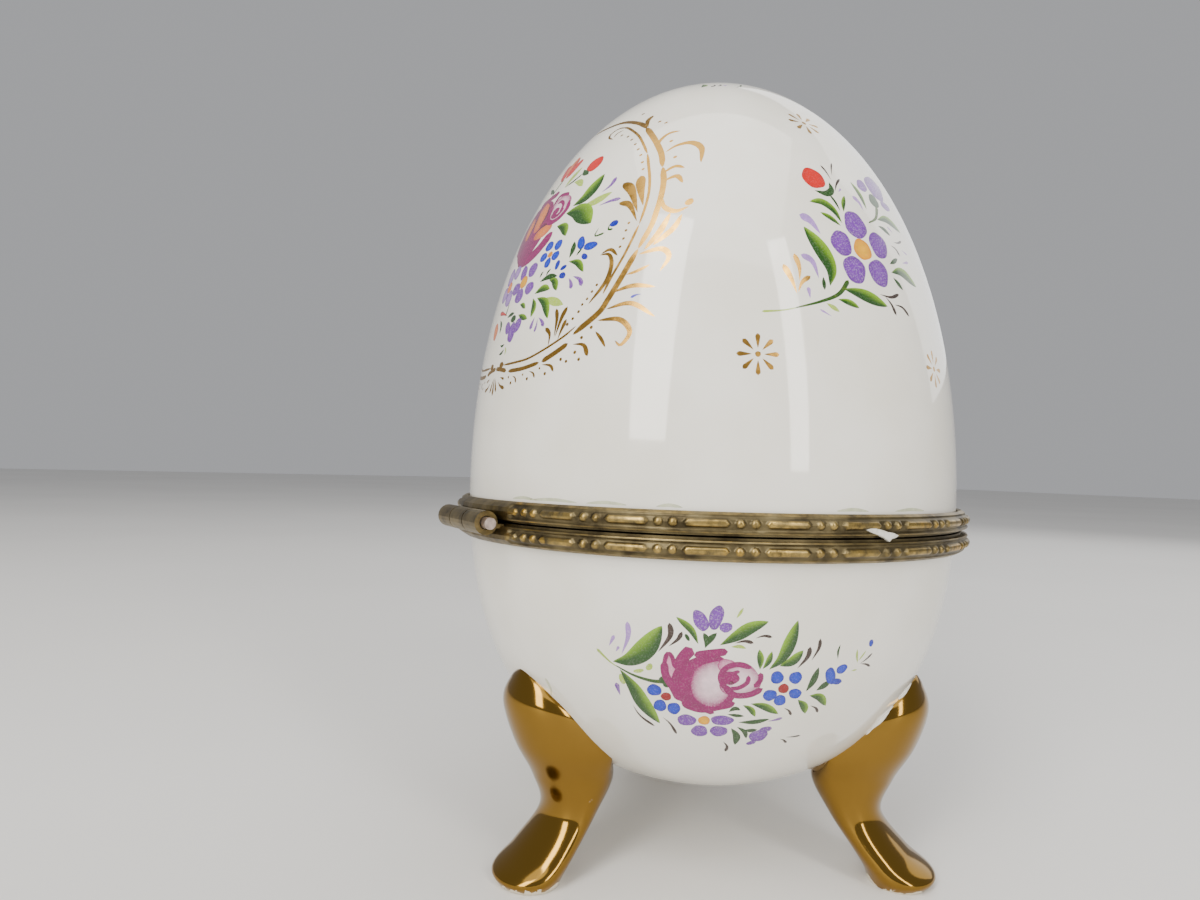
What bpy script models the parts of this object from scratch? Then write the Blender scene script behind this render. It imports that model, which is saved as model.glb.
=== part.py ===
"""A hinged porcelain egg box: two hollow halves in brass rims, on three gilded cabriole feet.

Metres, +Z up. The box stands on z = 0 with the hinge at -X, and the middle of its bounding box is over
the origin. An azimuth is counted in degrees from the hinge, through -Y, round the egg's axis.
"""

from math import cos, pi, radians, sin, sqrt

import bmesh
import bpy
from mathutils import Matrix, Vector

MM = 0.001

# The egg
EGG_RADIUS = 48.0 * MM
WIDEST_HEIGHT = 65.4 * MM
LID_RISE = 86.2 * MM  # from the widest plane to the top
BOWL_DROP = 52.8 * MM  # from the widest plane to the bowl's underside
LID_FULLNESS = (0.053, 0.022)  # how far each half is fuller or leaner than an ellipse
BOWL_FULLNESS = (-0.043, 0.206)
WALL = 4.0 * MM

# The brass rims, which meet at the joint
JOINT_HEIGHT = 63.8 * MM
RIM_HEIGHT = 3.7 * MM
RIM_RADIUS = 50.4 * MM
RIM_INNER_RADIUS = 43.6 * MM
RIM_FACE_GAP = 0.15 * MM  # from the joint plane to each rim's face
GROOVE_HALF_HEIGHT = 0.55 * MM
GROOVE_FLOOR_RADIUS = 48.9 * MM
FLANGE_THICKNESS = 0.9 * MM
SEAT_GAP = 0.3 * MM  # between the porcelain and the brass

# The hinge
HINGE_RADIUS = 51.4 * MM  # from the egg's axis to the pin's
BARREL_RADIUS = 2.05 * MM
BARREL_LENGTH = 20.0 * MM
KNUCKLES = 3
KNUCKLE_GAP = 0.3 * MM
RELIEF_GAP = 0.25 * MM  # between a rim and the other rim's knuckles
PIN_RADIUS = 1.0 * MM
BORE_RADIUS = 1.15 * MM
PIN_PROUD = 2.0 * MM
WEB_LEVELS = (0.25 * MM, 0.95 * MM)  # within the flange's thickness, from the joint plane
WEB_REACH = 3.2 * MM  # from the pin's axis to inside the rim
WEB_INSET = 0.05 * MM  # from a knuckle's ends

# The feet: height, front, core and half width of each level, radii from the egg's axis
FOOT_AZIMUTHS = (6.0, 123.0, 244.0)
FOOT_LEVELS = [
    (0.0 * MM, 44.8 * MM, 39.4 * MM, 6.0 * MM),  # sole
    (2.0 * MM, 45.7 * MM, 39.5 * MM, 7.2 * MM),  # toe
    (5.0 * MM, 41.2 * MM, 36.4 * MM, 7.1 * MM),  # instep
    (11.0 * MM, 36.3 * MM, 31.4 * MM, 6.3 * MM),  # ankle
    (17.5 * MM, 38.3 * MM, 29.5 * MM, 7.8 * MM),  # shin
    (24.0 * MM, 42.0 * MM, None, 10.3 * MM),  # calf, rooted in the bowl's wall
    (31.0 * MM, 44.2 * MM, None, 9.4 * MM),  # knee
    (35.5 * MM, 43.1 * MM, None, 5.2 * MM),  # crown
    (37.6 * MM, 41.9 * MM, None, 0.8 * MM),  # tip
]
FOOT_BACK = {  # radius of the foot's back at a level's height, where it is free of the bowl
    0.0 * MM: 34.0 * MM,
    2.0 * MM: 33.4 * MM,
    5.0 * MM: 31.5 * MM,
    11.0 * MM: 26.6 * MM,
    17.5 * MM: 23.6 * MM,
}
ROOT_DEPTH = 1.3 * MM  # how far a foot's sides are sunk in the wall
ROOT_BACK = 0.6 * MM
RINGS_PER_LEVEL = 2
FOOT_SIDES = 18

# Facets
TURNS = 52
LID_STEPS = (16, 11)  # outside and inside
BOWL_STEPS = (12, 9)
BARREL_SIDES = 20
SHARP_ANGLE = radians(35)

# The barrel stands proud at -X only, so the egg's axis lies a little to +X
AXIS_X = (HINGE_RADIUS + BARREL_RADIUS - RIM_RADIUS) / 2


def half_radius(drop, rise, fullness):
    """The outer radius of one half of the egg, at a distance drop from the widest plane to its pole."""
    share = min(1.0, drop / rise)
    first, second = fullness
    return EGG_RADIUS * sqrt(1 - share * share) * (1 + first * share + second * share * share)


def bowl_radius(height):
    return half_radius(WIDEST_HEIGHT - height, BOWL_DROP, BOWL_FULLNESS)


def half_outline(start, rise, fullness, steps):
    """(radius, distance) pairs of a half's outside, from the distance start to its pole."""
    first = start / rise
    points = []
    for i in range(steps + 1):
        share = first + (1 - first) * sin(pi / 2 * i / steps)
        points.append((half_radius(share * rise, rise, fullness), share * rise))
    points[-1] = (0.0, rise)
    return points


def shell_outline(start, rise, fullness, steps):
    """The outside from edge to pole and the inside from pole to edge, a wall's thickness apart."""
    outside = half_outline(start, rise, fullness, steps[0])
    inner_radius, inner_rise = EGG_RADIUS - WALL, rise - WALL
    inside = []
    for radius, distance in half_outline(start, rise, fullness, steps[1]):
        share = (distance - start) / (rise - start)
        inside.append((radius * inner_radius / EGG_RADIUS, start + share * (inner_rise - start)))
    return outside, inside[::-1]


def collection(name):
    made = bpy.data.collections.new(name)
    bpy.context.scene.collection.children.link(made)
    return made


def material(name, colour, roughness, metallic=0.0):
    made = bpy.data.materials.new(name)
    made.use_nodes = True
    shader = made.node_tree.nodes["Principled BSDF"]
    shader.inputs["Base Color"].default_value = (*colour, 1.0)
    shader.inputs["Roughness"].default_value = roughness
    shader.inputs["Metallic"].default_value = metallic
    made.diffuse_color = (*colour, 1.0)
    return made


def mesh_object(name, points, edges, faces, where):
    mesh = bpy.data.meshes.new(name)
    mesh.from_pydata(points, edges, faces)
    made = bpy.data.objects.new(name, mesh)
    where.objects.link(made)
    return made


def turned(name, outline, closed, where):
    """A body turned about the egg's axis from an outline that runs down its outer side."""
    points = [(radius, 0.0, height) for radius, height in outline]
    edges = [(i, i + 1) for i in range(len(points) - 1)]
    if closed:
        edges.append((len(points) - 1, 0))
    made = mesh_object(name, points, edges, [], where)
    made.location.x = AXIS_X
    screw = made.modifiers.new("turn", "SCREW")
    screw.axis = "Z"
    screw.steps = TURNS
    screw.render_steps = TURNS
    screw.use_merge_vertices = True
    screw.merge_threshold = 0.00001
    return made


def rod(name, radius, low, high, where):
    """A round bar on the hinge's axis, from y = low to y = high."""
    mesh = bpy.data.meshes.new(name)
    bars = bmesh.new()
    bmesh.ops.create_cone(
        bars, cap_ends=True, segments=BARREL_SIDES, radius1=radius, radius2=radius, depth=high - low
    )
    bmesh.ops.transform(bars, matrix=Matrix.Rotation(pi / 2, 4, "X"), verts=bars.verts)
    bars.to_mesh(mesh)
    bars.free()
    made = bpy.data.objects.new(name, mesh)
    made.location = (AXIS_X - HINGE_RADIUS, (low + high) / 2, JOINT_HEIGHT)
    where.objects.link(made)
    return made


def web(name, side, low, high, where):
    """The leaf that ties a knuckle to its rim: above the joint for side 1, below it for side -1."""
    mesh = bpy.data.meshes.new(name)
    block = bmesh.new()
    bmesh.ops.create_cube(block, size=1.0)
    size = Vector((WEB_REACH, high - low - 2 * WEB_INSET, WEB_LEVELS[1] - WEB_LEVELS[0]))
    bmesh.ops.transform(block, matrix=Matrix.Diagonal((*size, 1.0)), verts=block.verts)
    block.to_mesh(mesh)
    block.free()
    made = bpy.data.objects.new(name, mesh)
    middle = JOINT_HEIGHT + side * sum(WEB_LEVELS) / 2
    made.location = (AXIS_X - HINGE_RADIUS + WEB_REACH / 2, (low + high) / 2, middle)
    where.objects.link(made)
    return made


def boolean(target, operation, other):
    step = target.modifiers.new(operation.lower() + "_" + other.name, "BOOLEAN")
    step.operation = operation
    step.solver = "EXACT"
    step.object = other


def lid(where):
    start = JOINT_HEIGHT + RIM_FACE_GAP + FLANGE_THICKNESS + SEAT_GAP - WIDEST_HEIGHT
    outside, inside = shell_outline(max(0.0, start), LID_RISE, LID_FULLNESS, LID_STEPS)
    edge = WIDEST_HEIGHT + start
    down = [(radius, WIDEST_HEIGHT + distance) for radius, distance in outside[::-1]]
    up = [(radius, WIDEST_HEIGHT + distance) for radius, distance in inside[::-1]]
    if start < 0.0:
        down.append((EGG_RADIUS, edge))
        up.insert(0, (EGG_RADIUS - WALL, edge))
    return turned("lid", down + up, False, where)


def bowl(where):
    start = WIDEST_HEIGHT - (JOINT_HEIGHT - RIM_FACE_GAP - FLANGE_THICKNESS - SEAT_GAP)
    outside, inside = shell_outline(start, BOWL_DROP, BOWL_FULLNESS, BOWL_STEPS)
    up = [(radius, WIDEST_HEIGHT - distance) for radius, distance in inside]
    down = [(radius, WIDEST_HEIGHT - distance) for radius, distance in outside]
    return turned("bowl", up + down, False, where)


def rim(name, side, where):
    """A rim's ring: a rounded band outside the porcelain, and a flange over its edge."""
    collar = EGG_RADIUS + SEAT_GAP + 0.07 * MM
    outline = [  # (radius, distance from the joint)
        (collar, RIM_HEIGHT - 0.15 * MM),
        (collar + 0.5 * MM, RIM_HEIGHT),
        (RIM_RADIUS - 0.9 * MM, RIM_HEIGHT - 0.4 * MM),
        (RIM_RADIUS - 0.15 * MM, 2.75 * MM),
        (RIM_RADIUS, 2.0 * MM),
        (RIM_RADIUS - 0.2 * MM, 1.1 * MM),
        (RIM_RADIUS - 0.5 * MM, GROOVE_HALF_HEIGHT),
        (GROOVE_FLOOR_RADIUS, GROOVE_HALF_HEIGHT),
        (GROOVE_FLOOR_RADIUS, RIM_FACE_GAP),
        (RIM_INNER_RADIUS, RIM_FACE_GAP),
        (RIM_INNER_RADIUS, RIM_FACE_GAP + FLANGE_THICKNESS),
        (collar, RIM_FACE_GAP + FLANGE_THICKNESS),
    ]
    if side < 0:
        outline.reverse()
    placed = [(radius, JOINT_HEIGHT + side * distance) for radius, distance in outline]
    return turned(name, placed, True, where)


def knuckle_spans():
    """The y ranges of the knuckles, from -Y to +Y, with a gap between each two."""
    length = (BARREL_LENGTH - (KNUCKLES - 1) * KNUCKLE_GAP) / KNUCKLES
    spans = []
    for i in range(KNUCKLES):
        low = -BARREL_LENGTH / 2 + i * (length + KNUCKLE_GAP)
        spans.append((low, low + length))
    return spans


def hinged_rim(name, side, own, others, where, tools):
    """A rim that carries its own knuckles and is relieved round the other rim's."""
    made = rim(name, side, where)
    for i, (low, high) in enumerate(others):
        ends = (low - RELIEF_GAP, high + RELIEF_GAP)
        boolean(made, "DIFFERENCE", rod(f"{name}_relief_{i}", BARREL_RADIUS + RELIEF_GAP, *ends, tools))
    for i, (low, high) in enumerate(own):
        boolean(made, "UNION", rod(f"{name}_knuckle_{i}", BARREL_RADIUS, low, high, tools))
        boolean(made, "UNION", web(f"{name}_web_{i}", side, low, high, tools))
    reach = BARREL_LENGTH
    boolean(made, "DIFFERENCE", rod(f"{name}_bore", BORE_RADIUS, -reach, reach, tools))
    return made


def between(values, share):
    """A smooth value between the middle two of four, a share of the way."""
    a, b, c, d = values
    slope_b, slope_c = (c - a) / 2, (d - b) / 2
    s = share
    return (
        b * (2 * s**3 - 3 * s**2 + 1)
        + slope_b * (s**3 - 2 * s**2 + s)
        + c * (3 * s**2 - 2 * s**3)
        + slope_c * (s**3 - s**2)
    )


def foot_levels():
    """(height, front, core, back, half width) of each level; the upper ones are rooted in the wall."""
    levels = []
    for height, front, core, half_width in FOOT_LEVELS:
        back = FOOT_BACK.get(height)
        if core is None:
            core = sqrt((bowl_radius(height) - ROOT_DEPTH) ** 2 - half_width**2)
            back = core - ROOT_BACK
        levels.append((height, front, core, back, half_width))
    return levels


def foot_rings():
    levels = foot_levels()
    rings = []
    for i in range(len(levels) - 1):
        around = [levels[max(0, min(len(levels) - 1, i + k))] for k in (-1, 0, 1, 2)]
        for j in range(RINGS_PER_LEVEL):
            share = j / RINGS_PER_LEVEL
            rings.append([between(column, share) for column in zip(*around)])
    rings.append(list(levels[-1]))
    return rings


def foot(name, azimuth, where):
    """A cabriole foot, lofted through level rings that are round in front and flatter behind."""
    outward = Vector((-cos(radians(azimuth)), -sin(radians(azimuth)), 0.0))
    across = Vector((0.0, 0.0, 1.0)).cross(outward)
    points, faces = [], []
    rings = foot_rings()
    for height, front, core, back, half_width in rings:
        for k in range(FOOT_SIDES):
            angle = 2 * pi * k / FOOT_SIDES
            depth = front - core if cos(angle) > 0 else core - back
            point = outward * (core + depth * cos(angle)) + across * (half_width * sin(angle))
            points.append((AXIS_X + point.x, point.y, height))
    for i in range(len(rings) - 1):
        for k in range(FOOT_SIDES):
            low, next_low = i * FOOT_SIDES + k, i * FOOT_SIDES + (k + 1) % FOOT_SIDES
            faces.append((low, next_low, next_low + FOOT_SIDES, low + FOOT_SIDES))
    faces.append(tuple(range(FOOT_SIDES))[::-1])
    faces.append(tuple(range((len(rings) - 1) * FOOT_SIDES, len(rings) * FOOT_SIDES)))
    return mesh_object(name, points, [], faces, where)


def finish(made, look):
    made.data.materials.append(look)
    made.data.shade_smooth()
    made.data.set_sharp_from_angle(angle=SHARP_ANGLE)


def main():
    for old in list(bpy.data.objects):
        bpy.data.objects.remove(old, do_unlink=True)
    parts = collection("porcelain_egg_box")
    tools = collection("cutters")

    porcelain = (0.80, 0.79, 0.75)
    brass = (0.42, 0.33, 0.17)
    steel = (0.45, 0.40, 0.38)

    lid_half = lid(parts)
    bowl_half = bowl(parts)
    for i, azimuth in enumerate(FOOT_AZIMUTHS):
        boolean(bowl_half, "UNION", foot(f"foot_{i}", azimuth, tools))

    spans = knuckle_spans()
    middle, outer = spans[1:-1], [spans[0], spans[-1]]
    lid_ring = hinged_rim("lid_rim", 1, middle, outer, parts, tools)
    bowl_ring = hinged_rim("bowl_rim", -1, outer, middle, parts, tools)
    reach = BARREL_LENGTH / 2 + PIN_PROUD
    pin = rod("hinge_pin", PIN_RADIUS, -reach, reach, parts)

    finish(lid_half, material("lid_porcelain", porcelain, 0.12))
    finish(bowl_half, material("bowl_porcelain", porcelain, 0.12))
    finish(lid_ring, material("lid_rim_brass", brass, 0.38, 1.0))
    finish(bowl_ring, material("bowl_rim_brass", brass, 0.38, 1.0))
    finish(pin, material("pin_metal", steel, 0.4, 1.0))

    for cutter in tools.objects:
        cutter.hide_render = True
        cutter.display_type = "WIRE"

    # The lid turns on the pin's axis, so it and its rim hang from an empty there
    hinge = bpy.data.objects.new("lid_hinge", None)
    hinge.location = (AXIS_X - HINGE_RADIUS, 0.0, JOINT_HEIGHT)
    parts.objects.link(hinge)
    bpy.context.view_layer.update()
    for moving in (lid_half, lid_ring):
        moving.parent = hinge
        moving.matrix_parent_inverse = hinge.matrix_world.inverted()


main()
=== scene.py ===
"""The looks of a hinged porcelain egg box: painted glazed halves, stamped brass rims and worn gilded feet."""

from math import cos, pi, radians, sin, sqrt

import bpy
import numpy as np
from mathutils import Matrix, Vector, geometry


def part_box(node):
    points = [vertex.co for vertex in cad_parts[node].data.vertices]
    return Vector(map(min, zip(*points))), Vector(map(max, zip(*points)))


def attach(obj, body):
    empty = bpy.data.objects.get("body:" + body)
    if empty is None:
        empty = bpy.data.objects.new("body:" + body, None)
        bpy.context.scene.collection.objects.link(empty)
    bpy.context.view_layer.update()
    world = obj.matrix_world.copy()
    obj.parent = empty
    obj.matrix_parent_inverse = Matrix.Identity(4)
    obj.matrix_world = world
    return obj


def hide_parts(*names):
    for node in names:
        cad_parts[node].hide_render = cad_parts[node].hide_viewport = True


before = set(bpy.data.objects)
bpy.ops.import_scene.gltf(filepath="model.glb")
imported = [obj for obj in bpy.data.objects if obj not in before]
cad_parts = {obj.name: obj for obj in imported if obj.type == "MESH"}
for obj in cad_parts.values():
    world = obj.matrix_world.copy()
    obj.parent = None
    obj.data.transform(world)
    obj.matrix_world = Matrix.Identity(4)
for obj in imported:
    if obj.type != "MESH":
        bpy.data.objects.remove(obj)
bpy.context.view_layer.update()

MM = 0.001

# The egg, in millimetres, as the CAD has it
EGG_RADIUS = 48.0
WIDEST_HEIGHT = 65.4
LID_RISE = 86.2
BOWL_DROP = 52.8
LID_FULLNESS = (0.053, 0.022)
BOWL_FULLNESS = (-0.043, 0.206)
WALL = 4.0
LID_START = -0.25  # from the widest plane to each half's edge, towards its pole
BOWL_START = 2.95
JOINT_HEIGHT = 63.8
AXIS_X = sum(corner.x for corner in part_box("lid")) / 2 / MM


# --------------------------------------------------------------------------- colours and materials


def tint(red, green, blue):
    """A linear colour from 0-255 screen values."""
    share = np.array([red, green, blue]) / 255
    return np.where(share <= 0.04045, share / 12.92, ((share + 0.055) / 1.055) ** 2.4)


WHITE = tint(240, 236, 224)


class Nodes:
    """A short way to write a material's node tree."""

    def __init__(self, name, roughness, metallic=0.0):
        self.material = bpy.data.materials.new(name)
        self.material.use_nodes = True
        self.tree = self.material.node_tree
        self.shader = self.tree.nodes["Principled BSDF"]
        self.shader.inputs["Roughness"].default_value = roughness
        self.shader.inputs["Metallic"].default_value = metallic

    def add(self, kind, **values):
        node = self.tree.nodes.new(kind)
        for key, value in values.items():
            setattr(node, key, value)
        return node

    def link(self, source, target):
        self.tree.links.new(source, target)

    def place(self):
        """Where a point is on the object, in metres."""
        return self.add("ShaderNodeTexCoord").outputs["Object"]

    def noise(self, scale, detail=3.0, roughness=0.55, stretch=None):
        node = self.add("ShaderNodeTexNoise")
        node.inputs["Scale"].default_value = scale
        node.inputs["Detail"].default_value = detail
        node.inputs["Roughness"].default_value = roughness
        where = self.place()
        if stretch:
            mapping = self.add("ShaderNodeMapping")
            mapping.inputs["Scale"].default_value = stretch
            self.link(where, mapping.inputs["Vector"])
            where = mapping.outputs["Vector"]
        self.link(where, node.inputs["Vector"])
        return node.outputs["Fac"]

    def ramp(self, value, low, high, to_low=0.0, to_high=1.0):
        node = self.add("ShaderNodeMapRange")
        node.inputs["From Min"].default_value = low
        node.inputs["From Max"].default_value = high
        node.inputs["To Min"].default_value = to_low
        node.inputs["To Max"].default_value = to_high
        self.link(value, node.inputs["Value"])
        return node.outputs["Result"]

    def math(self, operation, first, second):
        node = self.add("ShaderNodeMath", operation=operation)
        for socket, value in zip(node.inputs, (first, second)):
            if isinstance(value, (int, float)):
                socket.default_value = value
            else:
                self.link(value, socket)
        return node.outputs["Value"]

    def mix(self, share, first, second):
        node = self.add("ShaderNodeMix", data_type="RGBA")
        if isinstance(share, (int, float)):
            node.inputs["Factor"].default_value = share
        else:
            self.link(share, node.inputs["Factor"])
        for socket, value in ((node.inputs[6], first), (node.inputs[7], second)):
            if isinstance(value, bpy.types.NodeSocket):
                self.link(value, socket)
            else:
                socket.default_value = (*value, 1.0)
        return node.outputs[2]

    def colour(self, value):
        self.link(value, self.shader.inputs["Base Color"])

    def set(self, name, value):
        if isinstance(value, bpy.types.NodeSocket):
            self.link(value, self.shader.inputs[name])
        else:
            self.shader.inputs[name].default_value = value

    def bump(self, value, strength, distance):
        node = self.add("ShaderNodeBump")
        node.inputs["Strength"].default_value = strength
        node.inputs["Distance"].default_value = distance
        self.link(value, node.inputs["Height"])
        self.link(node.outputs["Normal"], self.shader.inputs["Normal"])


def glaze_material():
    """White glazed porcelain, slightly warm and not quite even."""
    m = Nodes("glaze", 0.07)
    tone = m.ramp(m.noise(60.0, 2.0), 0.35, 0.65)
    m.colour(m.mix(tone, tint(236, 232, 219), tint(243, 240, 230)))
    m.set("Coat Weight", 0.3)
    m.set("Coat Roughness", 0.03)
    return m.material


def paint_material():
    """Enamel colours, laid with a brush: the colour attribute, broken by strokes and fine stipple."""
    m = Nodes("enamel", 0.16)
    attribute = m.add("ShaderNodeAttribute", attribute_name="paint")
    fine = m.ramp(m.noise(4200.0, 1.0, 0.5), 0.50, 0.68)
    stipple = m.math("MULTIPLY", fine, attribute.outputs["Alpha"])
    body = m.mix(stipple, attribute.outputs["Color"], tint(232, 214, 222))
    broad = m.ramp(m.noise(900.0, 3.0), 0.3, 0.7, 0.0, 0.22)
    m.colour(m.mix(broad, body, (0.02, 0.02, 0.015)))
    m.set("Coat Weight", 0.3)
    m.set("Coat Roughness", 0.05)
    return m.material


def gold_material():
    """Burnished gold on the glaze, rubbed thin in places."""
    m = Nodes("gold", 0.24, 1.0)
    thin = m.ramp(m.noise(1500.0, 3.0), 0.58, 0.72, 0.0, 0.35)
    m.colour(m.mix(thin, tint(196, 150, 70), tint(150, 120, 78)))
    m.set("Roughness", m.ramp(m.noise(700.0, 2.0), 0.3, 0.7, 0.16, 0.34))
    return m.material


def gilt_foot_material():
    """Bright gilding on the feet, worn to the white porcelain round the soles."""
    m = Nodes("gilt_feet", 0.13, 1.0)
    split = m.add("ShaderNodeSeparateXYZ")
    m.link(m.place(), split.inputs["Vector"])
    height = m.math("ADD", split.outputs["Z"], m.ramp(m.noise(420.0, 4.0), 0.3, 0.7, -0.0009, 0.0009))
    # the foot under the hinge is worn higher up than the other two
    limit = m.ramp(split.outputs["X"], -0.030, -0.020, 0.0011, 0.0005)
    worn = m.math("LESS_THAN", height, limit)
    rubbed = m.math("LESS_THAN", m.noise(230.0, 6.0, 0.7), 0.285)
    worn = m.math("MAXIMUM", worn, rubbed)
    m.colour(m.mix(worn, tint(138, 106, 46), tint(224, 214, 192)))
    m.set("Metallic", m.math("SUBTRACT", 1.0, worn))
    m.set("Roughness", m.ramp(worn, 0.0, 1.0, 0.12, 0.3))
    return m.material


def brass_material(name="rim_brass_dark"):
    """Old gilt brass: dark in the hollows, with gilding left on the relief."""
    m = Nodes(name, 0.4, 1.0)
    high = m.add("ShaderNodeAttribute", attribute_name="relief").outputs["Fac"]
    spots = m.ramp(m.noise(650.0, 5.0, 0.65), 0.36, 0.66)
    gilt = m.math("MULTIPLY", m.ramp(high, 0.15, 0.9), spots)
    dark = m.mix(m.ramp(m.noise(240.0, 4.0), 0.35, 0.65), tint(66, 58, 42), tint(118, 106, 76))
    bright = m.mix(m.ramp(m.noise(90.0, 3.0), 0.60, 0.68), tint(180, 152, 86), tint(232, 180, 50))
    m.colour(m.mix(gilt, dark, bright))
    m.set("Roughness", m.ramp(gilt, 0.0, 1.0, 0.44, 0.27))
    m.bump(m.noise(1100.0, 4.0), 0.25, 0.00004)
    return m.material


def glue_material():
    m = Nodes("old_glue", 0.35)
    m.colour(m.mix(m.ramp(m.noise(1200.0, 3.0), 0.35, 0.65), tint(196, 192, 178), tint(226, 224, 214)))
    m.bump(m.noise(1800.0, 3.0), 0.4, 0.0001)
    return m.material


def pin_material():
    m = Nodes("old_pin", 0.42, 1.0)
    m.colour(m.mix(m.ramp(m.noise(900.0, 4.0), 0.35, 0.65), tint(150, 132, 124), tint(196, 180, 170)))
    m.bump(m.noise(1500.0, 3.0), 0.2, 0.00003)
    return m.material


# --------------------------------------------------------------------------- the egg's surface


class Half:
    """One half of the egg's outside, measured along its meridian from the pole to the edge."""

    def __init__(self, rise, fullness, side, start):
        self.rise, self.fullness, self.side, self.start = rise, fullness, side, start
        share = np.sin(pi / 2 * np.linspace(1, 0, 1201)) if start < 0 else None
        if share is None:
            low = start / rise
            share = low + (1 - low) * np.sin(pi / 2 * np.linspace(1, 0, 1201))
        self.share = share
        self.radius = self.radius_at(share)
        self.radius[0] = 0.0
        self.height = WIDEST_HEIGHT + side * share * rise
        if start < 0:
            self.radius = np.append(self.radius, EGG_RADIUS)
            self.height = np.append(self.height, WIDEST_HEIGHT + side * start)
        steps = np.hypot(np.diff(self.radius), np.diff(self.height))
        self.arc = np.concatenate([[0.0], np.cumsum(steps)])
        self.edge = self.arc[-1]

    def radius_at(self, share):
        first, second = self.fullness
        return EGG_RADIUS * np.sqrt(np.maximum(0, 1 - share**2)) * (1 + first * share + second * share**2)

    def arc_of(self, height):
        order = np.argsort(self.height)
        return float(np.interp(height, self.height[order], self.arc[order]))

    def points(self, arc, turn):
        """3-D points, in metres, and their outward normals."""
        radius = np.interp(arc, self.arc, self.radius)
        height = np.interp(arc, self.arc, self.height)
        ahead, behind = np.minimum(arc + 0.15, self.edge), np.maximum(arc - 0.15, 0.0)
        run = np.interp(ahead, self.arc, self.radius) - np.interp(behind, self.arc, self.radius)
        fall = np.interp(ahead, self.arc, self.height) - np.interp(behind, self.arc, self.height)
        run = np.where(arc < 0.2, ahead - behind, run)
        fall = np.where(arc < 0.2, 0.0, fall)
        size = np.hypot(run, fall)
        out, up = -self.side * fall / size, self.side * run / size
        spot = np.stack([AXIS_X - radius * np.cos(turn), -radius * np.sin(turn), height], 1) * MM
        normal = np.stack([-out * np.cos(turn), -out * np.sin(turn), up], 1)
        return spot, normal


LID = Half(LID_RISE, LID_FULLNESS, 1, LID_START)
BOWL = Half(BOWL_DROP, BOWL_FULLNESS, -1, BOWL_START)


# --------------------------------------------------------------------------- brush strokes

# widths along a stroke, from its start to its end
SHAPES = {
    "leaf": lambda t: np.sin(pi * t**1.15) ** 0.8,
    "blade": lambda t: np.sin(pi * t**1.5) ** 0.7,
    "comma": lambda t: np.where(t < 0.25, np.sqrt(1 - (1 - t / 0.25) ** 2), ((1 - t) / 0.75) ** 0.8),
    "stem": lambda t: (0.25 + 0.75 * t) * np.minimum(1, (1 - t) * 20) ** 0.5,
    "bar": lambda t: np.minimum(1, np.minimum(t, 1 - t) * 9) ** 0.5,
    "curl": lambda t: np.sin(pi * t) ** 0.6,
}

LEAF_DARK, LEAF_LIGHT = tint(26, 74, 2), tint(132, 178, 20)
PALE_GREEN = tint(168, 196, 72)
OLIVE = tint(80, 104, 16)
BROWN = tint(58, 40, 28)
LILAC, PURPLE = tint(168, 128, 204), tint(104, 46, 148)
MAGENTA, DEEP_ROSE = tint(138, 0, 92), tint(96, 0, 54)
PINK = tint(224, 150, 182)
BLUE, DEEP_BLUE = tint(0, 54, 200), tint(0, 26, 156)
RED, SCARLET = tint(150, 6, 0), tint(212, 20, 0)
YELLOW, AMBER = tint(240, 176, 0), tint(216, 132, 0)
ORANGE = tint(230, 128, 44)
DIRT, SMEAR = tint(150, 146, 112), tint(206, 210, 176)

# name: shape, colour in the middle, colour at the edges, light colour, its share, stipple
STYLES = {
    "leaf": ("leaf", LEAF_DARK, LEAF_DARK * 0.9, LEAF_LIGHT, 1.0, 0.06),
    "blade": ("blade", LEAF_DARK, LEAF_DARK, LEAF_LIGHT, 0.55, 0.08),
    "dark": ("leaf", LEAF_DARK, LEAF_DARK * 0.8, LEAF_DARK, 0.0, 0.08),
    "pale": ("leaf", PALE_GREEN, PALE_GREEN, PALE_GREEN, 0.0, 0.25),
    "stem": ("stem", OLIVE, LEAF_DARK, OLIVE, 0.3, 0.05),
    "hair": ("stem", PALE_GREEN, PALE_GREEN * 0.9, PALE_GREEN, 0.0, 0.2),
    "brown": ("comma", BROWN, BROWN * 0.8, BROWN, 0.0, 0.06),
    "lilac": ("comma", LILAC, LILAC, LILAC, 0.0, 0.25),
    "purple": ("comma", PURPLE * 1.2, PURPLE, LILAC, 0.4, 0.35),
    "rose": ("bar", MAGENTA, MAGENTA * 0.9, MAGENTA, 0.0, 0.06),
    "crimson": ("curl", DEEP_ROSE, DEEP_ROSE, MAGENTA, 0.3, 0.10),
    "orange": ("curl", ORANGE, ORANGE, ORANGE, 0.0, 0.12),
    "scarlet": ("comma", SCARLET, RED, SCARLET, 0.0, 0.12),
    "dirt": ("curl", DIRT, SMEAR, DIRT, 0.0, 0.3),
    "smear": ("comma", SMEAR, tint(226, 226, 204), SMEAR, 0.0, 0.2),
    "blue": ("comma", DEEP_BLUE * 1.6, BLUE, LILAC, 0.3, 0.3),
    "gold": ("bar", ORANGE, ORANGE, ORANGE, 0.0, 0.0),
    "gold_comma": ("comma", ORANGE, ORANGE, ORANGE, 0.0, 0.0),
    "gold_curl": ("curl", ORANGE, ORANGE, ORANGE, 0.0, 0.0),
}

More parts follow.
